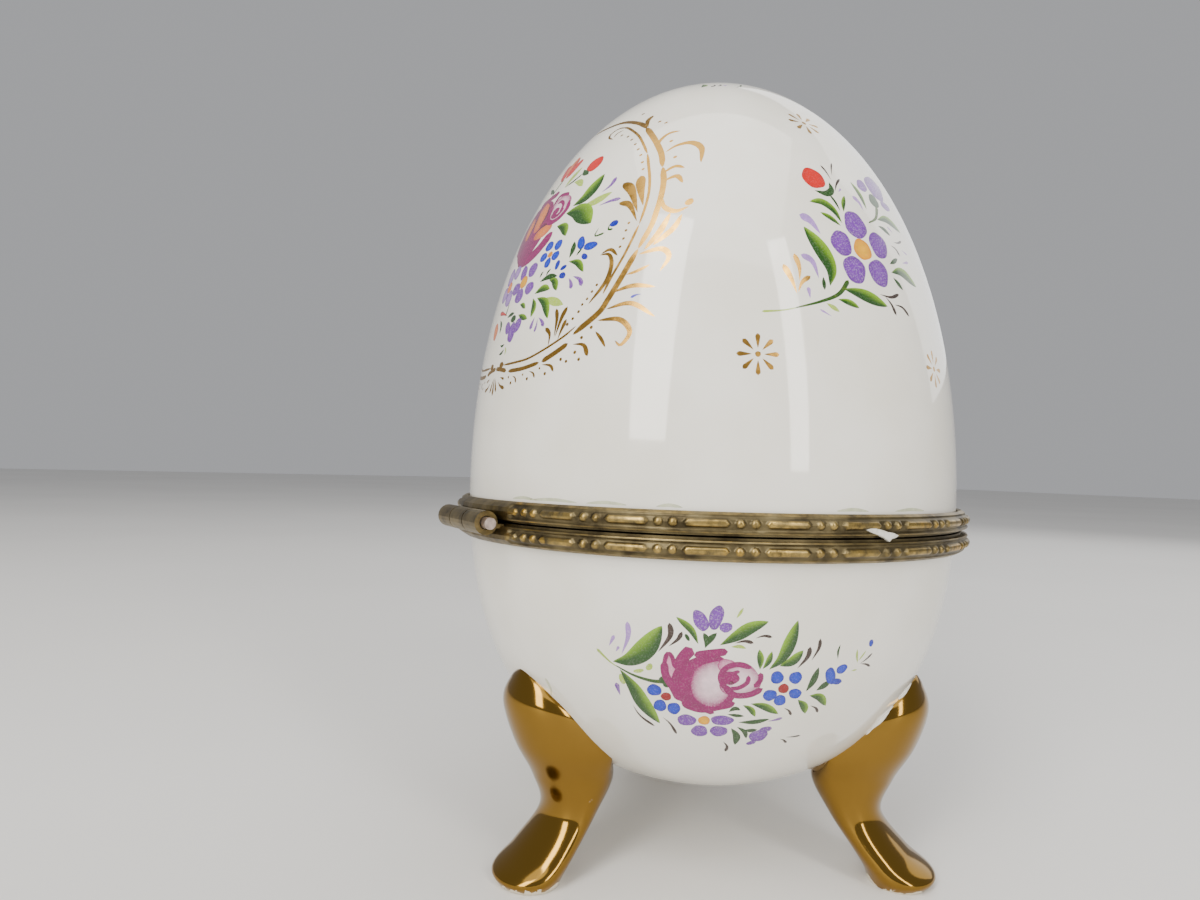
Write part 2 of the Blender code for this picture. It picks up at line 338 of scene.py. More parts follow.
# name: colour in the middle, colour at the edge, stipple
SPOTS = {
    "purple": (PURPLE * 1.3, PURPLE, 0.26),
    "lilac": (LILAC, PURPLE * 1.1, 0.35),
    "blue": (BLUE, DEEP_BLUE, 0.08),
    "red": (RED, RED * 0.8, 0.05),
    "scarlet": (SCARLET, SCARLET * 0.8, 0.05),
    "yellow": (YELLOW, AMBER, 0.04),
    "rose": (MAGENTA, MAGENTA * 0.9, 0.07),
    "deep": (DEEP_ROSE, DEEP_ROSE, 0.12),
    "pink": (PINK, MAGENTA * 1.2, 0.35),
    "blush": (tint(240, 212, 220), MAGENTA * 1.25, 0.30),
    "green": (LEAF_DARK, LEAF_DARK * 0.8, 0.06),
    "pale": (PALE_GREEN, PALE_GREEN, 0.3),
    "orange": (ORANGE, tint(200, 90, 60), 0.15),
    "gold": (ORANGE, ORANGE, 0.0),
}


def curve_through(controls, count):
    """Points of a smooth curve through the control points, evenly along it."""
    controls = np.array(controls, float)
    if len(controls) == 2:
        return controls[0] + np.linspace(0, 1, count)[:, None] * (controls[1] - controls[0])
    padded = np.vstack([2 * controls[0] - controls[1], controls, 2 * controls[-1] - controls[-2]])
    dense = []
    for i in range(1, len(padded) - 2):
        a, b, c, d = padded[i - 1 : i + 3]
        t = np.linspace(0, 1, 24, endpoint=False)[:, None]
        dense.append(
            0.5 * (2 * b + (c - a) * t + (2 * a - 5 * b + 4 * c - d) * t**2 + (3 * b - a - 3 * c + d) * t**3)
        )
    dense = np.vstack([*dense, padded[-2:-1]])
    along = np.concatenate([[0], np.cumsum(np.hypot(*np.diff(dense, axis=0).T))])
    even = np.linspace(0, along[-1], count)
    return np.stack([np.interp(even, along, dense[:, 0]), np.interp(even, along, dense[:, 1])], 1)


class Stroke:
    """A brush stroke: style, points of its middle line in millimetres, and its greatest width."""

    def __init__(self, style, controls, width):
        self.gold = style.startswith("gold")
        shape, self.middle, self.rim, self.light, self.share, self.grain = STYLES[style]
        self.width = width
        length = sum(np.hypot(b[0] - a[0], b[1] - a[1]) for a, b in zip(controls, controls[1:]))
        count = int(min(46, max(9, length / 0.38)))
        self.line = curve_through(controls, count)
        t = np.linspace(0, 1, count)
        run = np.gradient(self.line, axis=0)
        run /= np.hypot(run[:, 0], run[:, 1])[:, None]
        self.across = np.stack([-run[:, 1], run[:, 0]], 1)
        self.half = np.maximum(0.02, SHAPES[shape](t) * width / 2)
        # the light side of a leaf is the one turned up and to the right
        self.turn = 1.0 if self.across[count // 2] @ np.array([0.35, 1.0]) > 0 else -1.0

    def outline(self):
        left = self.line + self.across * self.half[:, None]
        right = self.line - self.across * self.half[:, None]
        return np.vstack([self.line[:1], right[1:-1], self.line[-1:], left[1:-1][::-1]])

    def inner_lines(self):
        if self.width < 0.9:
            return []
        shares = (0.0,) if self.width < 1.6 else (-0.5, 0.0, 0.5)
        inner = slice(2, -2)
        return [self.line[inner] + self.across[inner] * self.half[inner, None] * s for s in shares]

    def colours(self, spots):
        away = spots[:, None, :] - self.line[None, :, :]
        nearest = np.argmin((away**2).sum(2), 1)
        rows = np.arange(len(spots))
        offset = (away[rows, nearest] * self.across[nearest]).sum(1) / self.half[nearest]
        offset = np.clip(offset, -1, 1)
        along = nearest / (len(self.line) - 1)
        edge = np.abs(offset)[:, None] ** 2
        colour = self.middle * (1 - edge) + self.rim * edge
        lit = np.clip(offset * self.turn * 0.9 + along * 0.7 - 0.25, 0, 1)[:, None] * self.share
        colour = colour * (1 - lit) + self.light * lit
        return np.column_stack([colour, np.full(len(spots), self.grain)])


class Spot:
    """A dabbed shape: style, centre, half width and half height, and its tilt in degrees."""

    def __init__(self, style, centre, size, tilt=0.0):
        self.gold = style == "gold"
        self.middle, self.rim, self.grain = SPOTS[style]
        self.centre, self.size = np.array(centre, float), np.array(size, float)
        a = radians(tilt)
        self.axes = np.array([[cos(a), sin(a)], [-sin(a), cos(a)]])

    def ring(self, share, count):
        turn = np.linspace(0, 2 * pi, count, endpoint=False)
        # a dab isn't a true ellipse
        wave = 1 + 0.035 * np.sin(3 * turn + self.centre[0]) + 0.025 * np.sin(5 * turn + self.centre[1])
        local = np.stack([np.cos(turn), np.sin(turn)], 1) * self.size * share * wave[:, None]
        return self.centre + local @ self.axes

    def outline(self):
        return self.ring(1.0, int(min(44, max(10, pi * self.size.sum() / 0.42))))

    def inner_lines(self):
        if self.size.min() < 0.7:
            return []
        rings = [self.ring(share, int(min(28, max(8, pi * self.size.sum() / 0.7)))) for share in (0.4, 0.75)]
        return [np.vstack([ring, ring[:1]]) for ring in rings]

    def colours(self, spots):
        local = (spots - self.centre) @ self.axes.T / self.size
        edge = np.clip((local**2).sum(1), 0, 1)[:, None] ** 1.5
        colour = self.middle * (1 - edge) + self.rim * edge
        return np.column_stack([colour, np.full(len(spots), self.grain)])


class Canvas:
    """The painting on one half: strokes laid at places given by azimuth and height."""

    def __init__(self, half):
        self.half = half
        self.strokes = []

    def lay(self, azimuth, height, strokes, mirror=False, scale=1.0):
        arc = self.half.arc_of(height)
        for stroke in strokes:
            self.strokes.append((stroke, radians(azimuth), arc, -scale if mirror else scale, scale))

    def to_domain(self, points, placing):
        _, azimuth, arc, sx, sy = placing
        arcs = arc - self.half.side * points[:, 1] * sy
        turn = azimuth + points[:, 0] * sx / np.interp(arcs, self.half.arc, self.half.radius)
        return np.stack([arcs * np.cos(turn), arcs * np.sin(turn)], 1)

    def to_stroke(self, arcs, turns, placing):
        _, azimuth, arc, sx, sy = placing
        off = (turns - azimuth + pi) % (2 * pi) - pi
        x = off * np.interp(arcs, self.half.arc, self.half.radius) / sx
        return np.stack([x, (arc - arcs) * self.half.side / sy], 1)


def mesh_from(name, points, faces, normals=None):
    mesh = bpy.data.meshes.new(name)
    mesh.from_pydata([tuple(p) for p in points], [], faces)
    mesh.shade_smooth()
    if normals is not None:
        mesh.normals_split_custom_set_from_vertices([tuple(n) for n in normals])
    made = bpy.data.objects.new(name, mesh)
    bpy.context.scene.collection.objects.link(made)
    return made


EDGE_TURNS = 144


def background(half, spacing):
    """Points in rings over a half, closer-spaced than its facets would show."""
    points = [(0.0, 0.0)]
    rings = max(3, int(round(half.edge / spacing)))
    for i in range(1, rings + 1):
        arc = half.edge * i / rings
        around = float(np.interp(arc, half.arc, half.radius)) * 2 * pi
        count = EDGE_TURNS if i == rings else max(8, int(around / (spacing * 1.2)))
        for k in range(count):
            turn = 2 * pi * (k + (0.5 if i % 2 and i != rings else 0.0)) / count
            points.append((arc * cos(turn), arc * sin(turn)))
    return points


def painted_half(name, canvas, extras=(), spacing=2.0):
    """The half's outside cut along every stroke's outline, with its wall's edge and inside behind it.

    Each of extras is (points, faces, flat faces, material slot) of a body that is one with the half."""
    half = canvas.half
    points = background(half, spacing)
    edge_ids = list(range(len(points) - EDGE_TURNS, len(points)))
    faces = [edge_ids]
    edges = []
    for placing in canvas.strokes:
        outline = canvas.to_domain(placing[0].outline(), placing)
        if (placing[3] < 0) != (half.side < 0):
            outline = outline[::-1]
        first = len(points)
        points.extend(map(tuple, outline))
        faces.append(list(range(first, len(points))))
        for line in placing[0].inner_lines():
            first = len(points)
            points.extend(map(tuple, canvas.to_domain(line, placing)))
            edges.extend((i, i + 1) for i in range(first, len(points) - 1))
    cut = geometry.delaunay_2d_cdt([Vector(p) for p in points], edges, faces, 0, 1e-5, True)
    flat = np.array([tuple(p) for p in cut[0]])
    triangles = np.array([tuple(f) for f in cut[2]])
    owners = np.array([max(ids) if ids else -1 for ids in cut[5]])
    triangles = triangles[owners >= 0]
    owners = owners[owners >= 0]
    arcs = np.hypot(flat[:, 0], flat[:, 1])
    turns = np.arctan2(flat[:, 1], flat[:, 0])
    spots, normals = half.points(np.minimum(arcs, half.edge), turns)

    # the wall's edge and the inside
    rim = [i for i in range(len(arcs)) if arcs[i] > half.edge - 1e-3]
    rim.sort(key=lambda i: turns[i] % (2 * pi))
    count = len(rim)
    inner_share = [1 - (1 - s) ** 2 for s in np.linspace(0, 1, 26)]
    inner_radius, inner_rise = EGG_RADIUS - WALL, half.rise - WALL
    start = max(0.0, half.start)
    rows = []
    for s in inner_share[:-1]:
        share = start / half.rise + (1 - start / half.rise) * s
        radius = float(half.radius_at(np.array(share))) * inner_radius / EGG_RADIUS
        portion = (share * half.rise - start) / (half.rise - start)
        rows.append((radius, WIDEST_HEIGHT + half.side * (start + portion * (inner_rise - start))))
    if half.start < 0:
        rows.insert(0, (inner_radius, WIDEST_HEIGHT + half.side * half.start))
    inside = []
    for radius, height in rows:
        for i in rim:
            x, y = AXIS_X - radius * cos(turns[i]), -radius * sin(turns[i])
            inside.append((x * MM, y * MM, height * MM))
    pole = (AXIS_X * MM, 0.0, (WIDEST_HEIGHT + half.side * inner_rise) * MM)
    base = len(spots)
    shell = []
    for row in range(len(rows)):
        for k in range(count):
            after = (k + 1) % count
            inner = (base + row * count + k, base + row * count + after)
            outer = (rim[k], rim[after]) if row == 0 else (inner[0] - count, inner[1] - count)
            shell.append((outer[0], inner[0], inner[1], outer[1]))
    last = base + (len(rows) - 1) * count
    top = base + len(rows) * count
    shell.extend((last + k, top, last + (k + 1) % count) for k in range(count))
    outside = [tuple(map(int, t)) for t in triangles]
    if half.side < 0:
        outside = [t[::-1] for t in outside]
        shell = [s[::-1] for s in shell]

    everything = np.vstack([spots, np.array(inside + [pole])])
    added, slots, flat_from = [], [0] * (len(outside) + len(shell)), []
    for body_points, body_faces, flat_count, slot in extras:
        offset = len(everything)
        everything = np.vstack([everything, np.array(body_points) * MM])
        added.extend(tuple(offset + i for i in face) for face in body_faces)
        slots.extend([slot] * len(body_faces))
        flat_from.extend(range(len(slots) - flat_count, len(slots)))
    made = mesh_from(name, everything, outside + shell + added)
    mesh = made.data
    for material in (GLAZE, PAINT, GOLD, GILT_FEET):
        mesh.materials.append(material)
    slots = np.array(slots)
    colours = np.tile(np.array([*WHITE, 0.0]), (len(mesh.loops), 1))
    for owner in np.unique(owners[owners > 0]):
        placing = canvas.strokes[owner - 1]
        mine = np.nonzero(owners == owner)[0]
        slots[mine] = 2 if placing[0].gold else 1
        corners = triangles[mine].reshape(-1)
        local = canvas.to_stroke(arcs[corners], turns[corners], placing)
        shade = placing[0].colours(local).reshape(-1, 3, 4)
        if half.side < 0:
            shade = shade[:, ::-1]
        loops = (mine[:, None] * 3 + np.arange(3)).reshape(-1)
        colours[loops] = shade.reshape(-1, 4)
    mesh.polygons.foreach_set("material_index", slots)
    layer = mesh.color_attributes.new("paint", "FLOAT_COLOR", "CORNER")
    layer.data.foreach_set("color", colours.astype(np.float32).reshape(-1))

    # smooth normals: exact ones outside, the mesh's own inside
    loop_normals = [Vector(n.vector) for n in mesh.corner_normals]
    for i in range(len(outside)):
        for k in range(3):
            loop_normals[i * 3 + k] = Vector(normals[outside[i][k]])
    rim_set = set(rim)
    for i in range(len(outside), len(outside) + count):
        face = mesh.polygons[i]
        for loop in face.loop_indices:
            loop_normals[loop] = face.normal.copy()
    for i in range(len(outside) + count, len(outside) + 2 * count):
        face = mesh.polygons[i]
        for loop in face.loop_indices:
            if mesh.loops[loop].vertex_index in rim_set:
                loop_normals[loop] = face.normal.copy()
    for i in flat_from:
        for loop in mesh.polygons[i].loop_indices:
            loop_normals[loop] = mesh.polygons[i].normal.copy()
    mesh.normals_split_custom_set([tuple(n) for n in loop_normals])
    return made


# --------------------------------------------------------------------------- the feet

FOOT_AZIMUTHS = (6.0, 123.0, 244.0)
FOOT_LEVELS = [  # height, front, core, back and half width, as the CAD has them; None is rooted in the wall
    (0.0, 44.8, 39.4, 34.0, 6.0),
    (2.0, 45.7, 39.5, 33.4, 7.2),
    (5.0, 41.2, 36.4, 31.5, 7.1),
    (11.0, 36.3, 31.4, 26.6, 6.3),
    (17.5, 38.3, 29.5, 23.6, 7.8),
    (24.0, 42.0, None, None, 10.3),
    (31.0, 44.2, None, None, 9.4),
    (35.5, 43.1, None, None, 5.2),
    (37.6, 41.9, None, None, 0.8),
]
FOOT_RINGS = 9
FOOT_SIDES = 54


def between(values, share):
    """A smooth value between the middle two of four, a share of the way."""
    a, b, c, d = values
    s = share
    return (
        b * (2 * s**3 - 3 * s**2 + 1)
        + (c - a) / 2 * (s**3 - 2 * s**2 + s)
        + c * (3 * s**2 - 2 * s**3)
        + (d - b) / 2 * (s**3 - s**2)
    )


def foot(azimuth):
    """A cabriole foot through the CAD's levels, with more rings and sides than the CAD has."""
    levels = []
    for height, front, core, back, half_width in FOOT_LEVELS:
        if core is None:
            wall = float(BOWL.radius_at(np.array((WIDEST_HEIGHT - height) / BOWL_DROP)))
            core = sqrt((wall - 1.3) ** 2 - half_width**2)
            back = core - 0.6
        levels.append((height, front, core, back, half_width))
    rings = []
    for i in range(len(levels) - 1):
        around = [levels[max(0, min(len(levels) - 1, i + k))] for k in (-1, 0, 1, 2)]
        rings.extend([between(column, j / FOOT_RINGS) for column in zip(*around)] for j in range(FOOT_RINGS))
    rings.append(levels[-1])
    out = Vector((-cos(radians(azimuth)), -sin(radians(azimuth)), 0.0))
    across = Vector((0.0, 0.0, 1.0)).cross(out)
    points, faces = [], []
    for height, front, core, back, half_width in rings:
        for k in range(FOOT_SIDES):
            a = 2 * pi * k / FOOT_SIDES
            depth = front - core if cos(a) > 0 else core - back
            point = out * (core + depth * cos(a)) + across * (half_width * sin(a))
            points.append((AXIS_X + point.x, point.y, height))
    for i in range(len(rings) - 1):
        for k in range(FOOT_SIDES):
            low, after = i * FOOT_SIDES + k, i * FOOT_SIDES + (k + 1) % FOOT_SIDES
            faces.append((low, after, after + FOOT_SIDES, low + FOOT_SIDES))
    faces.append(tuple(range((len(rings) - 1) * FOOT_SIDES, len(rings) * FOOT_SIDES)))
    faces.append(tuple(range(FOOT_SIDES))[::-1])
    return points, faces, 2, 3


def slip_bead(azimuth, lowest=26.0, highest=37.0, radius=0.42, steps=60, sides=10):
    """The white slip left along the near side of a foot, where it was luted to the bowl."""
    out = Vector((-cos(radians(azimuth)), -sin(radians(azimuth)), 0.0))
    across = Vector((0.0, 0.0, 1.0)).cross(out)
    table = np.array([[level[0], level[1], level[4]] for level in FOOT_LEVELS])
    middle = []
    for height in np.linspace(lowest, highest, steps):
        wall = float(BOWL.radius_at(np.array((WIDEST_HEIGHT - height) / BOWL_DROP)))
        front, half_width = np.interp(height, table[:, 0], table[:, 1]), np.interp(height, table[:, 0], table[:, 2])
        core = sqrt((wall - 1.3) ** 2 - half_width**2)
        low, high = -pi / 2, 0.0
        for _ in range(30):
            a = (low + high) / 2
            reach = sqrt((core + (front - core) * cos(a)) ** 2 + (half_width * sin(a)) ** 2)
            low, high = (a, high) if reach < wall else (low, a)
        middle.append(out * (core + (front - core) * cos(low)) + across * half_width * sin(low) + Vector((0, 0, height)))
    points, faces = [], []
    for i, centre in enumerate(middle):
        run = (middle[min(i + 1, steps - 1)] - middle[max(i - 1, 0)]).normalized()
        side = run.cross(Vector((centre.x, centre.y, 0)).normalized()).normalized()
        rise = side.cross(run)
        t = i / (steps - 1)
        thick = radius * sin(pi * min(0.98, max(0.02, t))) ** 0.5 * (1 + 0.12 * sin(17 * t) + 0.1 * sin(31 * t + 1))
        for k in range(sides):
            a = 2 * pi * k / sides
            point = centre + (side * cos(a) + rise * sin(a)) * thick
            points.append((AXIS_X + point.x, point.y, point.z))
    for i in range(steps - 1):
        for k in range(sides):
            low, after = i * sides + k, i * sides + (k + 1) % sides
            faces.append((low, after, after + sides, low + sides))
    faces.append(tuple(range(sides))[::-1])
    faces.append(tuple(range((steps - 1) * sides, steps * sides)))
    return points, faces, 0, 0


# --------------------------------------------------------------------------- the brass rims

RIM_OUTLINE = [  # (radius, distance from the joint) up the outer side, as the CAD has it
    (49.9, 0.55), (50.2, 1.1), (50.4, 2.0), (50.25, 2.75), (49.5, 3.3), (48.87, 3.7),
]
RIM_BACK = [(48.37, 3.55), (48.37, 1.05), (43.6, 1.05), (43.6, 0.15), (48.9, 0.15), (48.9, 0.55)]
RIM_PLAIN = 2 * 360 / 52  # degrees each side of the hinge where the CAD's own rim is kept
RIM_ROWS = 26
RIM_COLUMNS = 1330
RIDGE = 2.05  # the relief's middle line, from the joint
REPEAT = 360 / 26  # degrees from bar to bar
BAR_AT = 68.5  # azimuth of a bar's middle
BAR_HALF = 3.55  # half a bar's length
BAR_RISE = 0.66  # half its height
BEAD_RADIUS = 0.72
BEAD_AT = 1.1  # each side of the middle between two bars
FIELD_DEPTH = 0.42  # how far the field lies below the bars' and beads' tops


def relief(along, up):
    """Height of the stamped pattern, from 0 in the field to 1 on its top, at millimetres from a bar's middle."""
    repeat = radians(REPEAT) * 50.4
    u = (along + repeat / 2) % repeat - repeat / 2
    v = np.abs(up)
    point = BAR_HALF - np.abs(u) - 0.9 * v
    bar = np.clip(np.minimum((BAR_RISE - v) / 0.34, point / 0.42), 0, 1)
    bar = bar * (2 - bar)
    middle = repeat / 2 - np.abs(u) - BEAD_AT
    bead = np.sqrt(np.clip(1 - (middle**2 + v**2) / BEAD_RADIUS**2, 0, 1))
    return np.maximum(bar, bead)


def stamped_rim(name, node, side):
    """The rim with its stamped band of bars and beads; near the hinge it is the CAD's own shape."""
    turns = np.linspace(RIM_PLAIN, 360 - RIM_PLAIN, RIM_COLUMNS + 1)
    distances = np.linspace(RIM_OUTLINE[0][1], RIM_OUTLINE[-1][1], RIM_ROWS)
    outline = np.array(RIM_OUTLINE)
    radii = np.interp(distances, outline[:, 1], outline[:, 0])
    grid_turn, grid_up = np.meshgrid(np.radians(turns), distances, indexing="ij")
    along = (grid_turn - radians(BAR_AT)) * 50.4
    high = relief(along, grid_up - RIDGE)
    # the field is sunk between the two plain edges of the band, and not near the hinge
    sunk = np.clip((1.25 - np.abs(grid_up - RIDGE)) / 0.3, 0, 1)
    sunk *= np.clip((np.minimum(grid_turn, 2 * pi - grid_turn) - radians(RIM_PLAIN + 0.6)) / radians(0.8), 0, 1)
    radius = radii[None, :] - FIELD_DEPTH * (1 - high) * sunk
    back = np.array(RIM_BACK)
    radius = np.hstack([radius, np.tile(back[:, 0], (len(turns), 1))])
    level = np.hstack([np.tile(distances, (len(turns), 1)), np.tile(back[:, 1], (len(turns), 1))])
    angle = np.tile(np.radians(turns)[:, None], (1, radius.shape[1]))
    points = np.stack(
        [AXIS_X - radius * np.cos(angle), -radius * np.sin(angle), JOINT_HEIGHT + side * level], 2
    ).reshape(-1, 3) * MM
    count = radius.shape[1]
    worn = np.hstack([np.where(sunk > 0, high, 0.45), np.full((len(turns), len(back)), 0.1)]).reshape(-1)
    faces = []
    for i in range(RIM_COLUMNS):
        for j in range(count):
            a, b = i * count + j, i * count + (j + 1) % count
            face = (a, a + count, b + count, b)
            faces.append(face if side > 0 else face[::-1])

    # the stretch round the hinge
    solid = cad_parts[node].data
    azimuths = []
    for vertex in solid.vertices:
        azimuths.append(abs(np.degrees(np.arctan2(-vertex.co.y, AXIS_X * MM - vertex.co.x))))
    used = {}
    for polygon in solid.polygons:
        if max(azimuths[i] for i in polygon.vertices) < RIM_PLAIN + 0.05:
            faces.append(tuple(used.setdefault(i, len(points) + len(used)) for i in polygon.vertices))
    kept = np.array([tuple(solid.vertices[i].co) for i in used])
    points = np.vstack([points, kept])
    worn = np.append(worn, np.full(len(kept), 0.35))
    metal_faces = len(faces)
    if side > 0:
        flake_points, flake_faces = glue_flake()
        faces.extend(tuple(len(points) + i for i in face) for face in flake_faces)
        points = np.vstack([points, np.array(flake_points) * MM])
        worn = np.append(worn, np.zeros(len(flake_points)))
    made = mesh_from(name, points, faces)
    mesh = made.data
    layer = mesh.attributes.new("relief", "FLOAT", "POINT")
    layer.data.foreach_set("value", worn.astype(np.float32))
    mesh.set_sharp_from_angle(angle=radians(38))
    mesh.materials.append(brass_material(name + "_brass"))
    if side > 0:
        mesh.materials.append(glue_material())
        for polygon in mesh.polygons[metal_faces:]:
            polygon.material_index = 1
    return made


def glue_flake():
    """A flake of old white glue that hangs from the upper rim over the gap."""
    outline = [  # (azimuth in degrees, distance from the joint), round the flake
        (82.9, 1.5), (84.3, 1.75), (86.2, 1.45), (87.6, 1.1), (89.0, 0.95), (90.2, 0.55),
        (89.4, 0.2), (88.6, 0.1), (88.0, -0.35), (87.1, 0.1), (85.6, 0.65), (84.0, 1.05),
    ]
    points, faces = [], []
    for depth in (50.3, 49.7):
        for azimuth, up in outline:
            a = radians(azimuth)
            points.append((AXIS_X - depth * cos(a), -depth * sin(a), JOINT_HEIGHT + up))
        a = radians(87.3)
        points.append((AXIS_X - (depth + 0.05) * cos(a), -(depth + 0.05) * sin(a), JOINT_HEIGHT + 0.8))
    count = len(outline)
    for k in range(count):
        after = (k + 1) % count
        faces.append((k, count, after))
        faces.append((count + 1 + k, count + 1 + after, 2 * count + 1))
        faces.append((k, after, count + 1 + after, count + 1 + k))
    return points, faces


# --------------------------------------------------------------------------- motifs

